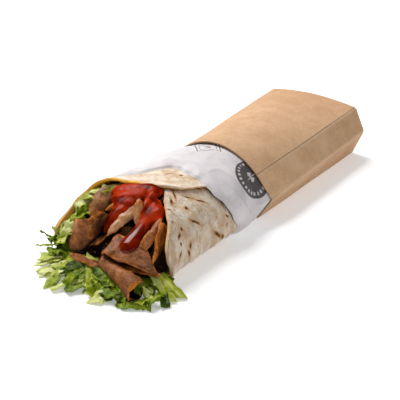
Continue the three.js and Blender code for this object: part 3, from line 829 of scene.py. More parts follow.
def lettuce_finish(colours):
    """Shredded iceberg and leaf lettuce: pale ribs, deep green frilled edges and fine veins."""
    finish = Finish("shredded_lettuce")
    green = finish.mark("green")
    leaf = finish.mark("leaf", "Vector")
    cloud = finish.noise(5.0, 1.0, 3.0, 0.6)
    veins = finish.noise((5.0, 0.9, 2.0), 3.0, 3.0, 0.6, leaf)
    amount = green + 0.7 * (cloud - 0.5) + 0.25 * (veins - 0.5)
    base = finish.node("ShaderNodeValToRGB", {"stops": [
        (0.0, colours.lettuce_rib), (0.35, colours.lettuce_pale),
        (0.65, colours.lettuce), (1.0, colours.lettuce_deep)]}, {0: amount})
    crinkle = finish.noise((2.2, 1.3, 2.0), 9.0, 3.0, 0.6, leaf)
    relief = 0.4 * veins + 0.2 * cloud + 0.4 * crinkle
    return finish.close(base_color=base, roughness=0.4, specular_ior_level=0.18,
                        subsurface_weight=0.3, subsurface_radius=(0.6, 1.0, 0.2),
                        subsurface_scale=0.001, normal=finish.bump(relief, 1.2, 0.7))


def floor_finish(colours):
    """A plain matt studio surface with a very faint grain."""
    finish = Finish("studio_floor")
    grain = finish.noise(1.5, 2.0, 2.0)
    base = finish.blend(grain, [0.99 * c for c in colours.floor], colours.floor)
    return finish.close(base_color=base, roughness=0.9, specular_ior_level=0.1,
                        emission_color=(1, 1, 1), emission_strength=FLOOR_GLOW)


# ------------------------------------------------------------------ the wrapping

def sleeve_shape(board):
    """The kraft tube. Each column of its grid keeps to its share of one panel, with more
    columns near the folds: angle = from one corner's angle to the next by a cosine share."""
    rows, panel_columns = 60, (26, 26, 100, 26, 26, 60)
    seam_radius, fold_radius = 33.0, 38.0  # turn angles at the seam and the folds into mm
    # Rows lie closer together near the front edge.
    share = np.linspace(0, 1, rows + 1)
    y = SLEEVE_LENGTH * (0.06 * share + 0.94 * share ** 1.15)
    size = sleeve_sizes(y)
    base = np.arctan2(-ROLL_WIDEST, size["base"] / 2)
    fold = np.arctan2(size["fold_up"] - ROLL_WIDEST, size["fold"] / 2)
    top = np.arctan2(size["top_up"] - ROLL_WIDEST, size["top"] / 2)
    folds = [fold, top, np.pi - top, np.pi - fold]
    corners = [base, *folds, np.pi - base, base + 2 * np.pi]
    angles = []
    for start, end, steps in zip(corners, corners[1:], panel_columns):
        spread = (1 - np.cos(np.pi * np.arange(steps) / steps)) / 2
        angles.append(lerp(start[:, None], end[:, None], spread[None, :]))
    angle = np.concatenate(angles, axis=1)
    y = np.broadcast_to(y[:, None], angle.shape)
    flat = polar(angle, y, sleeve_radius(angle, y, 0.0))
    # Soft waves in the board, and the raised sheet that laps over the right side.
    wave = 0.3 * (1 + noise(flat, 30, 1)) + 0.06 * (1 + noise(flat, 7, 2))
    down_seam = flat * (0, 1, 0)
    line = 0.6 + 0.2 * noise(down_seam, 30, 4) + 0.1 * noise(down_seam, 3, 8)
    from_seam = (angle - top[:, None]) * seam_radius - line
    lapped = smoothstep(from_seam, 0, 0.3) * (1 - smoothstep(angle, np.pi - 0.7, np.pi - 0.4))
    edge = 0.5 * noise(flat * (1, 0, 1), 16, 5) * (1 - smoothstep(y, 0, 15))
    outer = polar(angle, y + edge, sleeve_radius(angle, y, 0.0) + wave + 0.35 * lapped)
    inner = polar(angle, y + edge, sleeve_radius(angle, y, board) + wave)
    lift_to(outer, 0)
    lift_to(inner, board)
    away = np.min([np.abs(angle - corner[:, None]) for corner in folds], axis=0) * fold_radius
    near_fold = np.exp(-(away / 0.9) ** 2)
    # Where the painted shadow line under the lapped sheet's cut edge lies.
    seam = np.exp(-((from_seam + 0.1) / 0.26) ** 2) * (0.65 + 0.35 * noise(flat, (9, 5, 9), 11))
    shape = Shape()
    shape.add_shell(np.stack([outer, inner]), closed=True,
                    fold=np.stack([near_fold, 0 * near_fold]),
                    seam=np.stack([seam, 0 * seam]))
    return shape


def paper_shape(thick):
    """The paper bag: the roll's own section with a folded cuff, creases and a front edge drawn
    in against the tortilla, closed by swirled pleats at its far end."""
    columns, rows, end_rows = 300, 130, 16
    in_sleeve, end_depth = 4.0, 2.5
    angle = np.radians(-120 + 360 * np.arange(columns) / columns)[None, :]
    degrees = np.degrees(angle)
    front = curve_through(PAPER_FRONT, degrees)
    front = front + 0.5 * np.sin(angle * 9) + 0.4 * np.sin(angle * 23)
    share = np.linspace(0, 1, rows + 1)[:, None]
    y = two_spans(share, 0.72, 1.15, front, in_sleeve, ROLL_END - end_depth)
    wide = np.broadcast_to(angle, y.shape)
    # At the sleeve's mouth the paper bulges out to it low on both sides.
    low_side = smoothstep(np.abs(np.cos(wide)) - 0.3 * np.sin(wide), 0.75, 1.0)
    bulge = low_side * smoothstep(y, -22, -2) * (1 - smoothstep(y, 6, 30))
    roll = lerp(roll_radius(wide, y), sleeve_radius(wide, y, BOARD + GAP), bulge)
    flat = polar(wide, y, roll)
    from_front = y - front
    from_cuff = y - curve_through(CUFF_BACK, degrees) - 0.8 * np.sin(angle * 5)
    free = 1 - smoothstep(y, -8, -1)
    folded = (1 - smoothstep(from_cuff, -0.15, 0.2)) * smoothstep(from_front, 0, 2) * free
    # Painted shadow in a band just behind the cuff's back edge.
    shaded = np.exp(-((from_cuff - 0.5) / 0.55) ** 2) * free
    crease = (ridges(flat, (26, 15, 26), 3) ** 9 * 0.7 + ridges(flat, (13, 17, 9), 7) ** 8 * 0.35
              + 0.35 * (1 + noise(flat, 12, 9))) * free
    loose = smoothstep(from_front, 0, 6)
    radius = roll + crease * loose - (GAP + SKIN - thick - 0.04) * (1 - loose)
    outer = polar(wide, y, radius + folded)
    inner = polar(wide, y, radius - thick)
    # The far end: rings that shrink to the middle, gathered in pleats that twist as they go in.
    inward = np.linspace(0, 1, end_rows + 1)[1:-1, None]
    last = roll_radius(angle, np.full(angle.shape, ROLL_END))
    pleats = np.sin(7 * angle + 5 * inward) * np.sin(np.pi * inward) ** 0.7
    end_y = ROLL_END - end_depth * (1 - np.sin(inward * np.pi / 2))
    end_y = end_y - 1.2 * (1 + pleats) * inward ** 0.3
    end_outer = polar(angle, end_y, last * (1 - inward) ** 0.8)
    end_inner = end_outer - (0, thick, 0)
    rings = np.concatenate([end_outer[::-1], outer[::-1], inner, end_inner])
    knot = end_y.min() + 1.0
    middle = np.array([[0, knot, ROLL_WIDEST], [0, knot - thick, ROLL_WIDEST]])
    lift_to(rings, 0.6)
    shade = np.zeros(rings.shape[:2])
    shade[len(end_outer):len(end_outer) + len(outer)] = shaded[::-1]
    shape = Shape()
    shape.add_capped(rings, middle, shade=shade)
    return shape


def tortilla_shape():
    """One sheet that goes once round the roll and laps over its own start: outer face =
    roll's radius - lap depth + wrinkles, inner face = one thickness deeper, both drawn
    together at the front edge."""
    columns, rows = 350, 104
    across, down = grid(rows, columns)
    degrees = lerp(TORTILLA_FRONT[0][0], TORTILLA_FRONT[-1][0], across)
    angle = np.radians(degrees)
    along_sheet = angle * SHEET_RADIUS
    on_sheet = vectors(along_sheet, 0, 0)
    ragged = 0.6 * noise(on_sheet, 9, 1) + 0.35 * noise(on_sheet, 2.6, 2)
    front = curve_through(TORTILLA_FRONT, degrees) + ragged
    y = two_spans(down, 0.86, 1.3, front, np.maximum(front + 10, -24.0), FILLED)
    sheet = vectors(along_sheet, y, 0)
    warped = sheet + vectors(0, 2.4 * noise(sheet, 11, 3), 0)
    paper_edge = curve_through(PAPER_FRONT, (degrees + 120) % 360 - 120)
    shown = 1 - smoothstep(y - paper_edge, -1, 3)
    wrinkles = 0.5 * ridges(warped, (15, 3.4, 1), 4) ** 3
    wrinkles = wrinkles + 0.28 * ridges(warped, (9, 2.1, 1), 5) ** 3
    lumps = 0.3 * noise(sheet, (8, 6, 1), 6) + 0.3 * noise(warped, (5.0, 2.0, 1), 7)
    relief = (wrinkles + lumps) * shown * (1 - 0.6 * smoothstep(-degrees, 200, 235))
    from_front = np.clip((y - front) / 1.4, 0, 1)
    pinch = 0.85 * (1 - np.sqrt(1 - (1 - from_front) ** 2))
    lift = 0.6 * (1 + noise(on_sheet, 14, 8)) * (1 - smoothstep(y - front, 0, 7))
    radius = roll_radius(angle, y) - lap_depth(degrees)
    outer = polar(angle, y, radius + relief + lift - pinch)
    inner = polar(angle, y, radius - LAYER + 0.5 * lumps * shown + lift + pinch)
    skins = np.stack([outer, inner])
    lift_to(skins, 0.9)
    rim = 1 - from_front
    # The edge against the filling on the left is soaked with oil and sauce.
    soaked = 1 - np.clip((y - front) / 3.2, 0, 1)
    oiled = (smoothstep(soaked, 0.2, 0.7) * smoothstep(-degrees, 180, 210)
             * (1 - smoothstep(-degrees, 250, 275)))
    shape = Shape()
    shape.add_shell(skins, sheet=np.stack([sheet, sheet]), rim=np.stack([rim, rim]),
                    inner=np.stack([0 * rim, 1 + 0 * rim]),
                    oiled=np.stack([0.85 * oiled, oiled]))
    return shape


# ------------------------------------------------------------------ the filling

class Slice(NamedTuple):
    """A shaved slice: its turn as heading, pitch and roll in degrees, its size in mm, its
    curl across and bend along in degrees, and the share of its width at each end. A radius
    makes a tight curl with flat leaves beside it, and flare opens the curl to the tip. Tone
    darkens it above 0, partly its own colour and partly painted shade, and pales it below;
    side paints shade over its right part. A high blunt squares its ends, slant cuts the tip
    askew by that many mm, and thick multiplies its thickness. Baked spreads the crust over its
    faces. Shift moves it from the middle of its frame box, in mm."""
    turn: tuple
    length: float
    width: float
    curl: float
    bend: float
    ends: tuple
    radius: float = 0.0
    flare: float = 0.0
    tone: float = 0.0
    blunt: float = 4.0
    thick: float = 1.0
    slant: float = 0.0
    side: float = 0.0
    baked: float = 0.0
    shift: tuple = (0.0, 0.0, 0.0)


# Side paints shade over the right part of the big curl and of the folded, rolled and tall slices.
SLICES = {
    "meat_slice_left_top": Slice((75, 45, 30), 20, 15, 110, 10, (0.8, 0.9), tone=-0.35,
                                 blunt=3.0),
    "meat_slice_left_curled": Slice((60, 70, 57), 23.6, 27.5, 190, 0, (0.72, 0.92), tone=0.0,
                                    blunt=9.0, thick=1.6, slant=-4.5, side=0.85,
                                    baked=0.65, shift=(0.8, 1.9, -1.6)),
    "meat_slice_left_low": Slice((22, -18, 10), 20, 8, 30, 0, (0.6, 1), tone=0.1, blunt=4.0),
    "meat_slice_folded": Slice((92, 26, -80), 15, 80, 180, 0, (1, 0.55), radius=3.4, blunt=18.0,
                               tone=0.2, thick=1.1, side=0.45, shift=(1, 0, 0.5)),
    "meat_slice_rolled": Slice((-22, -6, 80), 32, 32, 310, 0, (0.6, 1), radius=4.8, flare=0.3,
                               tone=0.1, blunt=18.0, side=0.4, shift=(-2, -1, -2.8)),
    "meat_slice_right_tall": Slice((105, 55, 60), 34, 16, -160, 20, (0.7, 1), tone=-0.1,
                                   blunt=3.0, side=0.9, baked=0.6, shift=(2.5, -1, -2.5)),
    "meat_slice_middle_long": Slice((78, 30, 20), 28, 11, 50, 15, (0.35, 1.0), tone=-0.5,
                                    blunt=4.0, thick=0.9, shift=(0.8, 0.5, 2.5)),
    "meat_slice_middle_short": Slice((-60, -45, -5), 21, 6.5, 60, 0, (1.2, 0.15), tone=-0.3,
                                     blunt=4.0, thick=0.9, shift=(1.5, -2.5, 1.5)),
    "meat_slice_right_thin": Slice((85, 40, 15), 22, 9.5, 50, 10, (0.9, 0.45), tone=-0.1,
                                   blunt=4.0, thick=0.9, shift=(0.5, -1.5, 1)),
    "meat_slice_tip": Slice((45, 20, 40), 10, 4.5, 40, 0, (1, 0.2), blunt=3.0,
                            shift=(1.5, 0, 0.5)),
    "meat_slice_rim": Slice((45, 20, 40), 11, 7, 40, 0, (0.6, 1), blunt=3.0, shift=(1, 0, 1)),
}

# Slices placed one by one in the imported meat, with the middle of each in the wrap's frame.
# Their tone darkens them with painted shade, as they lie behind and under the slices in front.
PACKED = [
    # Behind the big curl on the left.
    (Slice((60, 62, 40), 22, 17, 90, 0, (0.8, 1), tone=0.2), (-20, -92, 16)),
    (Slice((100, 50, -20), 20, 15, 70, 10, (0.8, 1), tone=0.3), (-9, -91, 18)),
    (Slice((30, 55, 60), 20, 15, 80, 10, (0.8, 1), tone=0.3), (-25, -88, 17)),
    # The folded slice's lower lip.
    (Slice((4, 3, -12), 31, 11, 40, 0, (0.8, 0.7), blunt=6.0, tone=0.05), (21, -105.5, 10.5)),
    # Under the middle slices.
    (Slice((85, 38, 40), 20, 12, 60, 10, (0.8, 1), tone=0.35), (2, -96, 17)),
    (Slice((95, 35, -30), 18, 12, 60, 10, (0.8, 1), tone=0.35), (25, -95, 17)),
]


def slice_axes(turn):
    """Unit vectors along, across and out of a slice with a heading, pitch and roll."""
    heading, pitch, roll = np.radians(turn)
    along = np.array([np.cos(heading) * np.cos(pitch), np.sin(heading) * np.cos(pitch),
                      np.sin(pitch)])
    level = np.array([-np.sin(heading), np.cos(heading), 0.0])
    upright = np.cross(along, level)
    out = upright * np.cos(roll) + np.cross(along, upright) * np.sin(roll)
    return np.stack([along, np.cross(out, along), out])


def slice_skins(spec, thick, seed):
    """Both faces of a slice in its own frame, and how much crust each point has. Across, a
    point's reach runs round an arc and then straight; along, the slice bends on a circle.
    The outline's half width = ends x (1 - along to the power blunt) + ragged noise."""
    per_mm = 2.2
    columns = int(np.clip(spec.length * per_mm, 16, 70))
    rows = int(np.clip(spec.width * per_mm, 14, 120))
    across, down = grid(rows, columns)
    along = 2 * across - 1
    side = np.sign(down - 0.5)
    # Noise is read at places that differ from seed to seed and from one edge to the other.
    here = vectors(along * spec.length / 2, side * 7, 11 * seed)
    ragged = 1.1 * noise(here, 5.0, seed) + 0.7 * noise(here, 1.7, seed + 1)
    curl = math.radians(max(abs(spec.curl), 1))
    hollow = math.copysign(1, spec.curl)
    bend_radius = spec.length / math.radians(max(spec.bend, 1))
    radius = (spec.radius or spec.width / curl) * (1 + spec.flare * along)
    taper = 0.08 + 0.92 * np.clip(1 - np.abs(along) ** spec.blunt, 0, 1) ** 0.6
    half = spec.width / 2 * lerp(spec.ends[0], spec.ends[1], across) * taper
    half = np.maximum(half + ragged * np.minimum(half / 2, 1), 0.4)
    arc = np.minimum(radius * curl / 2, 0.92 * half)
    reach = np.where(down < 0.25, lerp(-half, -arc, 4 * down),
                     np.where(down > 0.75, lerp(arc, half, 4 * down - 3), arc * (4 * down - 2)))
    tip = vectors(40 * np.sign(along), reach, 5 * seed)
    jag = 1.3 * noise(tip, 5, seed + 2) + 0.8 * noise(tip, 1.8, seed + 3)
    cut = spec.slant * reach / half * np.clip(along, 0, 1)
    uneven = along + (jag * np.abs(along) ** 5 + cut) * 2 / spec.length
    angle = np.clip(reach / radius, -curl / 2, curl / 2)
    rest = reach - radius * angle
    # Thickness falls off towards every edge, and the edges turn up a little.
    to_side = half - np.abs(reach)
    to_end = (1 - np.abs(along)) * spec.length / 2
    to_edge = np.minimum(to_side, to_end)
    place = vectors(along * spec.length / 2, reach, 17 * seed)
    body = thick * spec.thick * (0.75 + 0.25 * noise(place, 6, seed + 4))
    rounded = np.sqrt(1 - (1 - np.clip(to_edge / 0.6, 0, 1)) ** 2)
    warp = 0.9 * noise(place, 9, seed + 8) + 0.5 * noise(place, 4, seed + 5)
    lip = 0.7 * np.exp(-(to_edge / 1.6) ** 2) * (0.6 + noise(place, 6, seed + 9))
    grain = 0.16 * noise(place, 1.4, seed + 6) + 0.08 * noise(place, 0.7, seed + 10)
    half_thick = 0.5 * body * rounded - grain
    skins = []
    for level in (warp + lip - half_thick, warp + lip + half_thick):
        out = radius - hollow * level
        y = out * np.sin(angle) + rest * np.cos(angle)
        z = hollow * (out * np.cos(angle) - radius - rest * np.sin(angle))
        turn = uneven * spec.length / 2 / bend_radius
        lever = bend_radius + z
        skins.append(vectors(lever * np.sin(turn), y, lever * np.cos(turn) - bend_radius))
    patch = 0.5 + 0.5 * noise(place, 5, seed + 7)
    crust = np.exp(-(to_edge / (0.7 + 1.1 * patch)) ** 2)
    crust = crust * (0.35 + 0.9 * patch) + 0.4 * smoothstep(patch, 0.8, 0.95)
    crust = np.clip(crust + spec.baked * (0.4 + 0.6 * across), 0, 1)
    return np.stack(skins), np.stack([crust, crust])


def add_slice(shape, spec, thick, seed, middle):
    """Adds a slice to a shape: turned, then moved so that the middle of its box is at a point
    in the wrap's frame plus its shift. Painted shade darkens it deeper into the pile, over its
    right part and in the hollow of a curl."""
    skins, crust = slice_skins(spec, thick, seed)
    turned = skins @ slice_axes(spec.turn)
    corners = turned.reshape(-1, 3)
    placed = turned + middle + spec.shift - (corners.min(axis=0) + corners.max(axis=0)) / 2
    placed = keep_inside(placed, thick, 0.0)
    lift_to(placed, 1.0)
    depth = placed[..., 1] - pile_front(placed[..., 2])
    # The hollow face of a curl, which skins[1] is when it curls down, gets painted shade.
    hollow = 0.5 * smoothstep(abs(spec.curl), 80, 240)
    hollow = hollow * np.array([0.0, 1.0])[::int(np.sign(spec.curl))]
    # Painted shade over the slice's right part, as much as its side asks for.
    low, high = placed[..., 0].min(), placed[..., 0].max()
    right = spec.side * smoothstep((placed[..., 0] - low) / (high - low), 0.45, 0.95)
    # The slice's own tone plus painted shade: over its right part, deeper behind the pile's front
    # and in a curl's hollow.
    tone = spec.tone + right + smoothstep(depth, 3, 12) + hollow[:, None, None]
    tone = np.clip(tone, -1, 1)
    # The orange crust fades where the painted shade is deep.
    shape.add_shell(placed, crust=crust * (1 - 0.75 * smoothstep(tone, 0.5, 1)), tone=tone)


def packed_slices(count):
    """Random slices and their middles, spread like seeds in a sunflower over the leaning face
    and a little behind it, so that more meat shows between the slices in front."""
    random = np.random.default_rng(PACKED_DRAW)
    golden_turn = 137.5
    for number in range(count):
        angle = math.radians(golden_turn * number)
        share = 0.86 * math.sqrt((number + 0.5) / count)
        radius = (ROLL_HALF - 12) * share
        x = 2 + radius * math.cos(angle)
        z = ROLL_WIDEST + 3 + 0.62 * radius * math.sin(angle)
        under_sauce = smoothstep(z, SAUCE_FROM, SAUCE_FULL)
        y = pile_front(z) + random.uniform(13, 17) - 6 * under_sauce
        # Their tone darkens them with painted shade, as they lie behind the slices in front.
        spec = Slice(turn=(random.uniform(60, 120), random.uniform(15, 50),
                           random.uniform(-70, 70)),
                     length=random.uniform(16, 24), width=random.uniform(9, 16),
                     curl=random.uniform(30, 110), bend=random.uniform(0, 20),
                     ends=(random.uniform(0.7, 1), random.uniform(0.6, 1)),
                     tone=random.uniform(0.3, 0.6), blunt=3.0)
        yield spec, (x, y, z)


def meat_radius(degrees, y):
    """The part of a section that holds meat: inside the tortilla, above the bed of lettuce
    and clear of the strip of lettuce along the left wall."""
    angle = np.radians(degrees)
    space = roll_radius(angle, y) - filling_depth(degrees)
    neck = 6 * (1 - smoothstep(y, -115, -80))
    floor = ray_to_plane(ROLL_WIDEST - BED_TOP, -np.sin(angle))
    left = ray_to_plane(MEAT_LEFT, -np.cos(angle))
    return np.minimum(np.minimum(space - neck, floor), left)


def core_shape():
    """The meat that runs through the roll. Its face leans like the pile and is broken into
    deep folds: y = the pile's front + a recess that is shallow under the sauce + ridged
    noise."""
    sides, walls, faces = 120, 10, 34
    degrees = np.arange(sides)[None, :] * 360 / sides
    angle = np.radians(degrees)
    shrink = np.linspace(1, 0, faces + 1)[1:-1, None]
    reach = meat_radius(degrees, np.full(degrees.shape, -60.0))
    height = ROLL_WIDEST + reach * np.sin(angle) * shrink
    flat = polar(angle, pile_front(height), reach * shrink)
    folds = 8 * ridges(flat, (9, 16, 7), 3) ** 2 + 2.5 * noise(flat, 3.5, 4)
    recess = 24 - 12 * smoothstep(height, SAUCE_FROM, SAUCE_FULL)
    face = polar(angle, pile_front(height) + recess - folds, reach * shrink)
    lift_to(face, 1.0)
    rim_y = pile_front(ROLL_WIDEST + reach * np.sin(angle)) + 16
    wall_y = lerp(FILLED, rim_y, np.linspace(0, 1, walls)[:, None])
    wall = polar(angle, wall_y, meat_radius(degrees, wall_y))
    rings = np.concatenate([wall, face])
    poles = np.array([[0, FILLED, ROLL_WIDEST], face[-1].mean(axis=0)])
    return rings, poles


def sauce_strand(path):
    """A run of sauce: a smooth path through (x, y, z, half width) keys, with an elliptic
    section that is widest across the leaning face and closes round at both ends."""
    sides = 20
    keys = np.array(path, float)
    steps = np.arange(len(keys), dtype=float)
    share = np.linspace(0, 1, 8 * len(keys))
    at = share * (len(keys) - 1)
    line = np.stack([curve_through(list(zip(steps, keys[:, i])), at) for i in range(4)], axis=-1)
    middle, half_width = line[:, :3], line[:, 3]
    half_height = 1.0 + 0.42 * half_width
    along = unit(np.gradient(middle, axis=0))
    out = unit(np.array([0.0, -PILE_SLOPE, 1.0]))
    side = unit(np.cross(along, out))
    out = np.cross(side, along)
    close = np.sqrt(1 - np.abs(2 * share - 1) ** 3.0)
    turn = np.linspace(0, 2 * np.pi, sides, endpoint=False)[None, :, None]
    rings = (middle[:, None] + side[:, None] * np.cos(turn) * (half_width * close)[:, None, None]
             + out[:, None] * np.sin(turn) * (half_height * close)[:, None, None])
    return rings[1:-1], middle[[0, -1]]


SAUCE = [
    # The pool under the tortilla's lap, in rows down the slope that run into each other.
    [(-21, -77, 34, 3), (-16, -75, 35, 5), (-8, -72.5, 36.2, 6), (0, -70.5, 37.4, 6),
     (5, -69.5, 37.8, 5.6), (10, -70.5, 37, 4)],
    [(-18, -81, 32, 3.6), (-13, -79.5, 33, 5.2), (-7, -77, 34.4, 6), (-1, -75, 35.6, 6),
     (5, -74, 36, 5)],
    [(-15, -84, 30.4, 3.2), (-9, -82.5, 31.4, 5.2), (-3, -80, 33, 5.2), (2, -78.5, 34, 4.4)],
    [(-13, -68, 36, 4), (0, -65, 37, 5), (9, -66, 36.5, 4)],
    # The broad strand on the left, down to the dark gap.
    [(-4, -77, 34, 5), (-5.4, -83, 31, 5.6), (-7, -89, 27.6, 4.8), (-7.6, -95, 24, 3.4),
     (-7, -100, 21, 2)],
    # The bright ridge in the middle.
    [(5, -67, 40, 2.8), (6.6, -73, 38.4, 3), (7.3, -79, 35.4, 2.6), (8, -85, 32.2, 2),
     (9.4, -91, 28.6, 1.5)],
    # From the right flap down to the drop, and the drop itself.
    [(19.5, -76, 33.4, 4), (17, -78.5, 33.2, 5.4), (14, -82, 31.4, 5.6), (12.6, -88, 28, 4.6),
     (12.5, -94, 25, 4.4), (12.4, -99, 22.8, 5.6), (12.2, -104, 20.6, 6.6),
     (12.2, -108, 18.8, 6)],
    [(10, -72, 36, 5), (10.5, -78, 33.4, 5.4), (11, -84, 30.4, 5), (12, -90, 27, 4)],
    [(20.5, -81, 31, 3), (18, -84, 29.6, 4), (15, -89, 27, 4)],
]


# ------------------------------------------------------------------ the lettuce

class Shred(NamedTuple):
    """A shred of lettuce from its root to its tip, both (x, y, z) in mm, with its width,
    how green it is from 0 to 1, how frilled its edges are, how its middle arches up, its
    roll and its twist in degrees."""
    root: tuple
    tip: tuple
    width: float
    green: float
    frill: float = 0.04
    arch: float = 1.0
    roll: float = 0.0
    twist: float = 20.0


SHREDS = [
    Shred((-41, -101, 5), (-49, -107, 13), 3.2, 0.75, arch=0, roll=30),
    Shred((-40, -100, 4), (-52, -109.5, 4), 3.0, 0.35, roll=10),
    Shred((-42, -99, 5), (-43, -102, 15), 3, 0.4, arch=0, roll=50),
    Shred((-26, -105, 10), (-42, -108, 8), 9, 0.78, 0.2, 2, 0, 30),
    Shred((-24, -110, 8), (-39, -112, 5), 8, 0.72, 0.2, 2, 0, -30),
    Shred((-30, -101, 10), (-42, -104, 9), 7, 0.68, 0.18, 2, 10, 30),
    Shred((-28, -107, 5), (-41.5, -116, 1), 8, 0.12, 0.1, 1, 0, 20),
    Shred((-26, -111, 4), (-37, -121, 1), 8, 0.2, 0.08, 1, 10, -20),
    Shred((-22, -113, 4), (-31, -127, 1), 8, 0.1, 0.08, 1, 0, 20),
    Shred((-20, -104, 6), (-41, -117, 2), 8, 0.2),
    Shred((-14, -104, 6), (-31, -128, 1), 8.5, 0.28, twist=0),
    Shred((-21, -113, 6), (-18, -136, 1), 6.5, 0.5, twist=15),
    Shred((-12, -110, 6), (-18, -126, 4), 8, 0.95),
    Shred((2, -114, 5), (-17, -136, 1), 7.5, 0.12, twist=10),
    Shred((4, -118, 3), (-6, -135, 1), 6, 0.8, twist=20),
    Shred((0, -107, 7), (-14, -122, 5), 11, 0.6, 0.03, twist=5),
    Shred((-10, -108, 9), (9, -131, 1), 6.5, 0.42, twist=-10),
    Shred((-6, -112, 8), (15, -121, 5), 7.5, 0.9, 0.1),
    Shred((0, -116, 6), (22, -121, 3), 8, 0.62, 0.06, twist=-25),
    Shred((2, -120, 4), (20, -127, 2), 8, 0.75, 0.08),
    Shred((17, -119, 5), (12.5, -135, 1), 8.5, 0.22, twist=5),
    Shred((12, -128, 3), (27, -123, 2), 6, 0.85, 0.12, twist=40),
    Shred((38, -121, 3), (25, -129, 1), 6.5, 0.55, twist=10),
    Shred((22, -121, 2), (27, -129, 1), 5, 0.8, 0.1),
    Shred((41, -111, 5), (41, -123, 1), 4.5, 0.8, 0.2, 2, 20, 60),
    Shred((40, -115, 3), (37, -124, 1), 4.5, 0.7, 0.2, 2, 0, -60),
    Shred((30, -104, 11), (46, -110, 1.5), 6, 0.3, 0.04, 1, 15, 10),
    Shred((33, -102, 10), (50, -105, 1.5), 6, 0.55, 0.06, 1, 10, -10),
    Shred((36, -106, 5), (47, -116, 1), 5.5, 0.95, 0.06),
    Shred((40, -115, 4), (32, -124, 2.5), 6, 0.35, 0.16),
    # Up the left wall, between the tortilla and the meat.
    Shred((-14, -66, 34), (-25, -79, 30), 6, 0.8, 0.08, 0, -35, -15),
    Shred((-20, -66, 36), (-30, -83, 33), 6, 0.35, 0.16, 0.5, -30, 30),
    Shred((-23, -71, 33), (-32, -87, 30), 6.5, 0.3, 0.14, 0.5, -20, 40),
    Shred((-27, -76, 32), (-35, -92, 27), 5.5, 0.15, 0.16, 0.5, -40, 20),
    Shred((-26, -79, 30), (-32, -94, 24), 6, 0.75, 0.2, 0.5, -25, -40),
    Shred((-26, -84, 26), (-32, -99, 21), 7, 0.55, 0.16, 0.5, -10, 30),
    Shred((-30, -90, 24), (-35, -106, 15), 8, 0.1, 0.14, 0.5, -20, -30),
    Shred((-27, -94, 19), (-33, -110, 12), 7, 0.4, 0.16, 0.5, 0, 40),
]


def ribbons(shreds, seed, rows, columns):
    """Shreds of lettuce as arrays, one entry for each shred. The middle line runs from root
    to tip with an arch of 4 x share x (1 - share), the cut across it rolls and twists, and
    its edges are frilled by a sine whose height grows towards them. Returns both skins, the
    greenness and the leaf coordinates."""
    across, down = grid(rows, columns)
    across, down = across[None], down[None]
    root, tip = (shreds[name][:, None, None, :] for name in ("root", "tip"))
    width, green, frill, arch, roll, twist = (
        shreds[name][:, None, None] for name in Shred._fields[2:])
    seed = seed[:, None, None]
    length = np.linalg.norm(tip - root, axis=-1)
    edge = 2 * across - 1
    place = vectors(down * length, 9 * seed, 0)
    over = vectors(down * length, edge * width / 2, 9 * seed)
    line = tip - root + vectors(0, 0, arch * 4 * (1 - 2 * down))
    along = unit(line + 0.5 * length[..., None] * vectors(
        noise(place, 13, 21), noise(place, 13, 27), 0.5 * noise(place, 9, 22)))
    level = unit(vectors(-along[..., 1], along[..., 0], 0))
    up = np.cross(along, level)
    spin = np.radians(roll + twist * (down - 0.5) + 14 * noise(place, 8, 28))
    cut = level * np.cos(spin)[..., None] + up * np.sin(spin)[..., None]
    out = np.cross(along, cut)
    middle = root + (tip - root) * down[..., None]
    middle = middle + vectors(0.9 * noise(place, 9, 29), 0.9 * noise(place, 9, 30),
                              arch * 4 * down * (1 - down) + 0.5 * noise(place, 6, 31))
    outline = 0.82 + 0.18 * np.clip(1 - np.abs(2 * down - 1) ** 9, 0, 1) ** 0.5
    nibbled = 1 + 0.1 * noise(over * (1, 0, 1) + np.sign(edge)[..., None] * (0, 3, 0), 4, 23)
    span = width / 2 * outline * nibbled
    slant = 0.45 * np.sin(7 * seed) * edge * width * np.abs(2 * down - 1) ** 4
    ruffle = np.abs(edge) ** 1.6 * frill * width * np.sin(
        down * length * 0.95 + 2.2 * np.sign(edge) + 5 * seed)
    fold = 0.16 * width * np.abs(edge - 0.5 * np.sin(4 * seed)) * np.sin(9 * seed + 1)
    ripple = 0.6 * noise(over, 4.0, 24) + 0.55 * noise(over, 1.9, 26)
    rib_at = 1.3 * np.sin(5 * seed)
    rib = np.exp(-((edge - rib_at) / 0.35) ** 2) * (1.15 - green)
    half_thick = 0.2 + 0.35 * rib
    lift = ruffle + fold + ripple
    skins = [middle + along * slant[..., None] + cut * (edge * span)[..., None]
             + out * (lift + way * half_thick)[..., None] for way in (1, -1)]
    skins = np.stack(skins, axis=1)
    left = smoothstep(-skins[..., 0], 5, 20)
    skins = keep_inside(skins, 1.2 * left, 1.0)
    skins[..., 2] = np.where(skins[..., 2] < 0.6, 0.15 + 0.45 * np.exp(skins[..., 2] - 0.6),
                             skins[..., 2])
    tint = np.clip(green + 0.12 * (np.abs(edge) - 0.5) - 0.35 * rib
                   + 0.22 * noise(over, 7, 25), 0, 1)
    leaf = vectors(down * length, edge * width / 2, 3 * seed)
    shape = skins.shape[:4]
    return (skins, np.broadcast_to(tint[:, None], shape),
            np.broadcast_to(leaf[:, None], shape + (3,)))


HEAP_MIDDLE = (-4.0, -96.0)
HEAP_UP = 7.6
HEAP_OUTLINE = [(-360, 36), (-347, 30), (-300, 25), (-240, 25), (-205, 36), (-186, 42),
                (-175, 42), (-165, 40), (-140, 38), (-106, 38), (-62, 34), (-45, 40),
                (-31, 48), (-18, 48), (-8, 44), (0, 36)]


def add_shreds(shape, shreds, seed, rows, columns):
    """Adds one closed ribbon for each shred to a shape."""
    for skins, green, leaf in zip(*ribbons(shreds, seed, rows, columns)):
        shape.add_shell(skins, green=green, leaf=leaf)


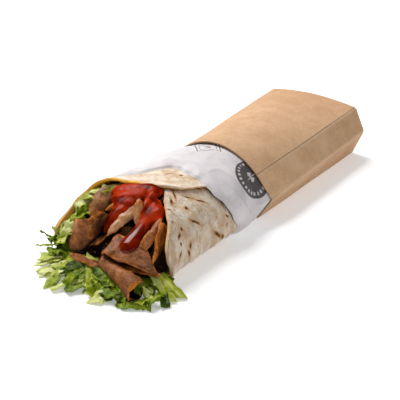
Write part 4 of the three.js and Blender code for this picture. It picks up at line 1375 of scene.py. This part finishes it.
def loose_shreds(count):
    """The many shreds under the main ones: rooted inside the heap's outline and pointing out
    of it, all round its front."""
    random = np.random.default_rng(LOOSE_DRAW)
    degrees = random.uniform(-192, -4, count)
    share = random.uniform(0.3, 0.7, count)
    outline = curve_through(HEAP_OUTLINE, degrees) * 0.94
    angle = np.radians(degrees)
    out = vectors(np.cos(angle), np.sin(angle), 0)
    height = 1.5 + 4 * (1 - share) + random.uniform(0, 1.5, count)
    root = vectors(*HEAP_MIDDLE, height) + out * (outline * share)[:, None]
    swing = angle + np.radians(random.uniform(-55, 55, count))
    reach = np.minimum(random.uniform(10, 18, count), outline * (1 - share))
    tip = root + vectors(np.cos(swing), np.sin(swing), 0) * reach[:, None]
    tip[:, 2] = random.uniform(0.5, 4, count)
    return {
        "root": root, "tip": tip,
        "width": random.uniform(2.5, 5.5, count),
        "green": random.uniform(0.1, 0.85, count) - 0.3 * smoothstep(-tip[:, 0], 12, 30),
        "frill": random.uniform(0.03, 0.15, count),
        "arch": random.uniform(0, 2.5, count),
        "roll": random.uniform(-25, 25, count),
        "twist": random.uniform(-50, 50, count),
    }, random.uniform(0, 50, count)


def wall_shreds(count):
    """Shreds that lie along the roll's left wall and end a little in front of the tortilla's
    edge. Each lies flat on the wall: its roll is the wall's angle less a quarter turn."""
    random = np.random.default_rng(WALL_DRAW)
    degrees = np.linspace(124, 206, count) + random.uniform(-3, 3, count)
    front = curve_through(TORTILLA_FRONT, degrees - 360)
    angle = np.radians(degrees)
    root_y = front + random.uniform(4, 10, count)
    tip_y = front - random.uniform(1, 8, count)
    return {
        "root": polar(angle, root_y, roll_radius(angle, root_y) - random.uniform(4, 7, count)),
        "tip": polar(angle + np.radians(random.uniform(4, 22, count)), tip_y,
                     roll_radius(angle, front) - random.uniform(4, 7, count)),
        "width": random.uniform(3, 6, count),
        "green": random.choice([0.1, 0.35, 0.6, 0.9], count),
        "frill": random.uniform(0.05, 0.14, count),
        "arch": np.zeros(count),
        "roll": degrees - 90 + random.uniform(-35, 35, count),
        "twist": random.uniform(-40, 40, count),
    }, random.uniform(0, 50, count)


def heap_core():
    """A lower, smaller dome under the shreds, crinkled: height = dome x (1 - share cubed), and
    no lower than a step behind the mouth. Its rings come first, then its two poles."""
    sides, rows = 90, 16
    dome, behind = HEAP_UP * 0.62, 4.2
    degrees = -360 + 360 * np.arange(sides)[None, :] / sides
    share = np.concatenate([[0.86], np.linspace(0.92, 0.05, rows)])[:, None]
    angle = np.radians(degrees)
    reach = curve_through(HEAP_OUTLINE, degrees) * 0.8 * share
    x = HEAP_MIDDLE[0] + reach * np.cos(angle)
    y = HEAP_MIDDLE[1] + reach * np.sin(angle)
    z = dome * (1 - share ** 3) + 0 * x
    z[0] = 0.3
    z[1:] += 0.9 * noise(vectors(x, y, z)[1:], (5, 5, 9), 2) * (1 - share[1:])
    z = np.maximum(z, behind * smoothstep(y, -106, -98))
    return vectors(x, y, z), np.array([[*HEAP_MIDDLE, behind], [*HEAP_MIDDLE, dome]])


def bed_skins():
    """The bed of lettuce under the meat and up the left wall, which runs the roll's length."""
    across, down = grid(40, 60)
    degrees = lerp(152.0, 342.0, across)
    angle = np.radians(degrees)
    space = roll_radius(angle, np.full(angle.shape, GRIP_FROM)) - filling_depth(degrees)
    height = ROLL_WIDEST + space * np.sin(angle)
    front = pile_front(height) + 15
    y = lerp(front, FILLED, down ** 2)
    outer = polar(angle, y, roll_radius(angle, np.maximum(y, GRIP_FROM)) - filling_depth(degrees))
    inner = polar(angle, y, meat_radius(degrees, np.maximum(y, -78.0)) + GAP)
    return np.stack([outer, inner])


# ------------------------------------------------------------------ settings

class WrapShape(bpy.types.PropertyGroup):
    """Sizes that can change without leaving the frame."""
    board: FloatProperty(name="Kraft board", description="Thickness of the sleeve in mm",
                         default=0.5, min=0.2, max=1.0)
    paper: FloatProperty(name="Paper", description="Thickness of the paper in mm",
                         default=0.2, min=0.05, max=0.4)
    slice_thick: FloatProperty(name="Slices", description="Thickness of the meat slices in mm",
                               default=1.6, min=0.8, max=4.0)
    packed_slices: IntProperty(name="Packed slices", default=26, min=0, max=60,
                               description="Slices packed behind those that can be told apart")
    shreds: IntProperty(name="Loose shreds", default=150, min=0, max=300,
                        description="Shreds of lettuce in the heap beside the main ones")
    sauce_voxel: FloatProperty(name="Sauce detail", default=0.45, min=0.3, max=2.0,
                               description="Size in mm of the cells that join the sauce runs")


class WrapColours(bpy.types.PropertyGroup):
    """Colours of every finish."""
    kraft: colour("Kraft", "Unbleached board", "cba785")
    # Also the painted shade towards the sleeve's far end.
    kraft_dark: colour("Kraft, darker", "Mottling in the board", "b9926e")
    # Also the painted shadow line at the seam.
    kraft_fibre_and_shadow: colour("Kraft fibre", "Dark fibres and the line at the seam", "5d3f26")
    kraft_worn: colour("Kraft, worn", "Pale worn folds", "dcc4a8")
    paper: colour("Paper", "Greaseproof paper", "d7d1d2")
    paper_shade: colour("Paper, shaded", "Cloudier parts of the paper", "c9c3c5")
    # The ink colour also paints the shadow behind the cuff.
    ink: colour("Ink", "Print on the paper", "3a3335")
    tortilla: colour("Tortilla", "Floury surface", "e0d1bf")
    tortilla_dough: colour("Tortilla dough", "Less floury patches", "c5a787")
    tortilla_golden: colour("Tortilla, golden", "Toasted blisters and edges", "b8782a")
    tortilla_burnt: colour("Tortilla, burnt", "Middles of the blisters", "3c1808")
    tortilla_stained: colour("Tortilla, stained", "Inner face near the filling", "e8a81c")
    meat: colour("Meat", "Cut face", "b87440")
    meat_dark: colour("Meat, darker", "Darker grain", "7a401a")
    # Near-black: browned patches and browner slices, and painted shade in the pile's recesses, in
    # curl hollows and over the shaded right parts of slices.
    meat_browned_and_shade: colour("Meat, browned and painted shade", "Browner slices and patches, and painted shade", "1e0901")
    meat_pore: colour("Meat pores", "Small pits", "1c0800")
    meat_fat: colour("Meat fat", "Threads of fat", "cfa074")
    crust: colour("Crust", "Grilled edges", "d68334")
    crust_dark: colour("Crust, darker", "Darker grilled edges", "883f0c")
    sauce: colour("Sauce", "Thinner sauce", "ae2e09")
    sauce_deep: colour("Sauce, deep", "Thicker sauce", "5c0f01")
    lettuce_rib: colour("Lettuce rib", "Ribs and inner leaf", "d2d692")
    lettuce_pale: colour("Lettuce, pale", "Pale leaf", "a4ac2c")
    lettuce: colour("Lettuce", "Leaf", "6c8208")
    lettuce_deep: colour("Lettuce, deep", "Outer leaf and frills", "33470a")
    floor: colour("Floor", "Studio floor", "efefef")


class WrapStage(bpy.types.PropertyGroup):
    """Camera and lights."""
    azimuth: FloatProperty(name="Azimuth", description="Direction the camera stands in",
                           subtype="ANGLE", default=math.radians(35.06))
    elevation: FloatProperty(name="Elevation", description="Height of the camera's direction",
                             subtype="ANGLE", default=math.radians(26.62))
    distance: FloatProperty(name="Distance", description="Camera to the point it looks at",
                            unit="LENGTH", default=0.66, min=0.1)
    lens: FloatProperty(name="Lens", description="Focal length of the camera",
                        subtype="DISTANCE_CAMERA", default=92.9, min=10)
    key: FloatProperty(name="Key light", description="Power of the large light overhead",
                       unit="POWER", default=17.6, min=0)
    rim: FloatProperty(name="Rim light", description="Power of the lower light on the left",
                       unit="POWER", default=8.0, min=0)
    fill: FloatProperty(name="Fill light", description="Power of the light on the right",
                        unit="POWER", default=5.0, min=0)
    sky: FloatProperty(name="Sky", description="Strength of the even light all round",
                       default=0.24, min=0)


# ------------------------------------------------------------------ operators

class WRAP_OT_sleeve(bpy.types.Operator):
    """Build the kraft sleeve"""
    bl_idname = "wrap.sleeve"
    bl_label = "Kraft sleeve"

    def execute(self, context):
        shape = sleeve_shape(context.scene.wrap_shape.board)
        shape.build("kraft_tube", kraft_finish(context.scene.wrap_colours), "kraft",
                    ["kraft_sleeve"], sharp=35.0)
        return {"FINISHED"}


class WRAP_OT_paper(bpy.types.Operator):
    """Build the paper with its cuff and print"""
    bl_idname = "wrap.paper"
    bl_label = "Paper"

    def execute(self, context):
        shape = paper_shape(context.scene.wrap_shape.paper)
        shape.build("paper_bag", paper_finish(context.scene.wrap_colours), "paper",
                    ["paper_wrap"])
        return {"FINISHED"}


class WRAP_OT_tortilla(bpy.types.Operator):
    """Build the rolled tortilla"""
    bl_idname = "wrap.tortilla"
    bl_label = "Tortilla"

    def execute(self, context):
        tortilla_shape().build("tortilla_sheet", tortilla_finish(context.scene.wrap_colours),
                               "tortilla", ["tortilla"], sharp=80.0)
        return {"FINISHED"}


class WRAP_OT_meat(bpy.types.Operator):
    """Build the slices that can be told apart and the meat packed behind them"""
    bl_idname = "wrap.meat"
    bl_label = "Meat"

    def execute(self, context):
        settings = context.scene.wrap_shape
        thick = settings.slice_thick
        material = meat_finish(context.scene.wrap_colours)
        for number, (node, spec) in enumerate(SLICES.items()):
            low, high = node_box(node)
            shape = Shape()
            add_slice(shape, spec, thick, SEED_BLOCK * number, (low + high) / 2 - START)
            shape.build(node.replace("meat_slice", "slice"), material, "meat", [node],
                        sharp=80.0)
        packed = Shape()
        # The core is near-black all over: painted shade deep inside the pile, with no crust.
        packed.add_capped(*core_shape(), crust=0.0, tone=1.0)
        random_slices = packed_slices(settings.packed_slices)
        for first, group in ((HAND_PLACED_SEEDS, PACKED), (PACKED_SEEDS, random_slices)):
            for number, (spec, middle) in enumerate(group):
                add_slice(packed, spec, thick, first + SEED_BLOCK * number, middle)
        packed.build("packed_meat", material, "meat", ["meat_filling"], sharp=80.0)
        return {"FINISHED"}


class WRAP_OT_sauce(bpy.types.Operator):
    """Build the sauce: its runs are joined by a voxel remesh and smoothed into one body"""
    bl_idname = "wrap.sauce"
    bl_label = "Sauce"

    def execute(self, context):
        shape = Shape()
        for path in SAUCE:
            shape.add_capped(*sauce_strand(path))
        piece = shape.build("sauce_runs", sauce_finish(context.scene.wrap_colours), "sauce",
                            ["sauce"], sharp=180.0)
        remesh = piece.modifiers.new("join", "REMESH")
        remesh.mode = "VOXEL"
        remesh.voxel_size = context.scene.wrap_shape.sauce_voxel * MM
        remesh.use_smooth_shade = True
        smooth = piece.modifiers.new("settle", "SMOOTH")
        smooth.factor = 0.6
        smooth.iterations = 26
        return {"FINISHED"}


class WRAP_OT_lettuce(bpy.types.Operator):
    """Build the lettuce: shreds over a smaller core, and the bed that runs through the roll"""
    bl_idname = "wrap.lettuce"
    bl_label = "Lettuce"

    def execute(self, context):
        material = lettuce_finish(context.scene.wrap_colours)
        main = {name: np.array(values, float)
                for name, values in zip(Shred._fields, zip(*SHREDS))}
        shape = Shape()
        add_shreds(shape, main, SHRED_SEEDS * np.arange(len(SHREDS)), rows=34, columns=12)
        shape.build("lettuce_shreds", material, "lettuce", ["lettuce"], sharp=80.0)
        heap = Shape()
        for shreds in (loose_shreds(context.scene.wrap_shape.shreds), wall_shreds(WALL_SHREDS)):
            add_shreds(heap, *shreds, rows=22, columns=8)
        rings, poles = heap_core()
        count = rings.shape[0] * rings.shape[1] + 2
        heap.add(np.concatenate([rings.reshape(-1, 3), poles]), capped_faces(*rings.shape[:2]),
                 green=np.full(count, 0.75), leaf=np.zeros((count, 3)))
        bed = bed_skins()
        heap.add_shell(bed, green=0.6, leaf=bed)
        heap.build("lettuce_heap", material, "lettuce", ["lettuce"], sharp=80.0)
        return {"FINISHED"}


class WRAP_OT_stage(bpy.types.Operator):
    """Set up the floor, the soft lights and the camera"""
    bl_idname = "wrap.stage"
    bl_label = "Stage"

    def execute(self, context):
        stage = context.scene.wrap_stage
        mesh = bpy.data.meshes.new("studio_floor")
        corners = ((-1, -1), (1, -1), (1, 1), (-1, 1))
        mesh.from_pydata([(x * FLOOR_REACH, y * FLOOR_REACH, 0) for x, y in corners], [],
                         [(0, 1, 2, 3)])
        mesh.materials.append(floor_finish(context.scene.wrap_colours))
        floor = bpy.data.objects.new("studio_floor", mesh)
        floor.location.z = -FLOOR_DROP
        context.scene.collection.objects.link(floor)
        aim = Vector(START + AIM) * MM
        for name, (place, size) in LIGHTS.items():
            lamp = self.light(context, name, Vector(place), aim, size, getattr(stage, name))
            lamp.visible_glossy = name == "key"
        world = bpy.data.worlds.new("studio")
        world.use_nodes = True
        background = world.node_tree.nodes["Background"].inputs
        background["Color"].default_value = (1, 1, 1, 1)
        background["Strength"].default_value = stage.sky
        world.cycles_visibility.glossy = False
        context.scene.world = world
        camera = bpy.data.objects.new("camera", bpy.data.cameras.new("camera"))
        context.scene.collection.objects.link(camera)
        camera.data.lens = stage.lens
        back = Vector((math.sin(stage.azimuth) * math.cos(stage.elevation),
                       -math.cos(stage.azimuth) * math.cos(stage.elevation),
                       math.sin(stage.elevation)))
        camera.location = aim + back * stage.distance
        camera.rotation_mode = "QUATERNION"
        camera.rotation_quaternion = (-back).to_track_quat("-Z", "Y")
        camera.data.clip_start = 0.01
        camera.data.clip_end = 30.0
        context.scene.camera = camera
        context.scene.view_settings.view_transform = "Standard"
        return {"FINISHED"}

    @staticmethod
    def light(context, name, place, aim, size, power):
        """A square soft light that faces the wrap."""
        lamp = bpy.data.lights.new(name, "AREA")
        lamp.size = size
        lamp.energy = power
        holder = bpy.data.objects.new(name, lamp)
        holder.location = place
        holder.rotation_mode = "QUATERNION"
        holder.rotation_quaternion = (aim - place).to_track_quat("-Z", "Y")
        context.scene.collection.objects.link(holder)
        return holder


class WRAP_PT_panel(bpy.types.Panel):
    """Lists the pieces of the wrap"""
    bl_label = "Doner wrap"
    bl_idname = "WRAP_PT_panel"
    bl_space_type = "VIEW_3D"
    bl_region_type = "UI"
    bl_category = "Wrap"

    def draw(self, context):
        for operator in PIECES:
            self.layout.operator(operator.bl_idname)
        for group in (context.scene.wrap_shape, context.scene.wrap_stage,
                      context.scene.wrap_colours):
            box = self.layout.box()
            for name in group.__annotations__:
                box.prop(group, name)


PIECES = (WRAP_OT_sleeve, WRAP_OT_paper, WRAP_OT_tortilla, WRAP_OT_meat, WRAP_OT_sauce,
          WRAP_OT_lettuce, WRAP_OT_stage)
CLASSES = (WrapShape, WrapColours, WrapStage, *PIECES, WRAP_PT_panel)


def register():
    for cls in CLASSES:
        bpy.utils.register_class(cls)
    bpy.types.Scene.wrap_shape = PointerProperty(type=WrapShape)
    bpy.types.Scene.wrap_colours = PointerProperty(type=WrapColours)
    bpy.types.Scene.wrap_stage = PointerProperty(type=WrapStage)


def unregister():
    del bpy.types.Scene.wrap_stage
    del bpy.types.Scene.wrap_colours
    del bpy.types.Scene.wrap_shape
    for cls in reversed(CLASSES):
        bpy.utils.unregister_class(cls)


def main():
    """Builds the wrap."""
    register()
    for operator in PIECES:
        group, name = operator.bl_idname.split(".")
        getattr(getattr(bpy.ops, group), name)()
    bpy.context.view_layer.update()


if __name__ == "__main__":
    main()
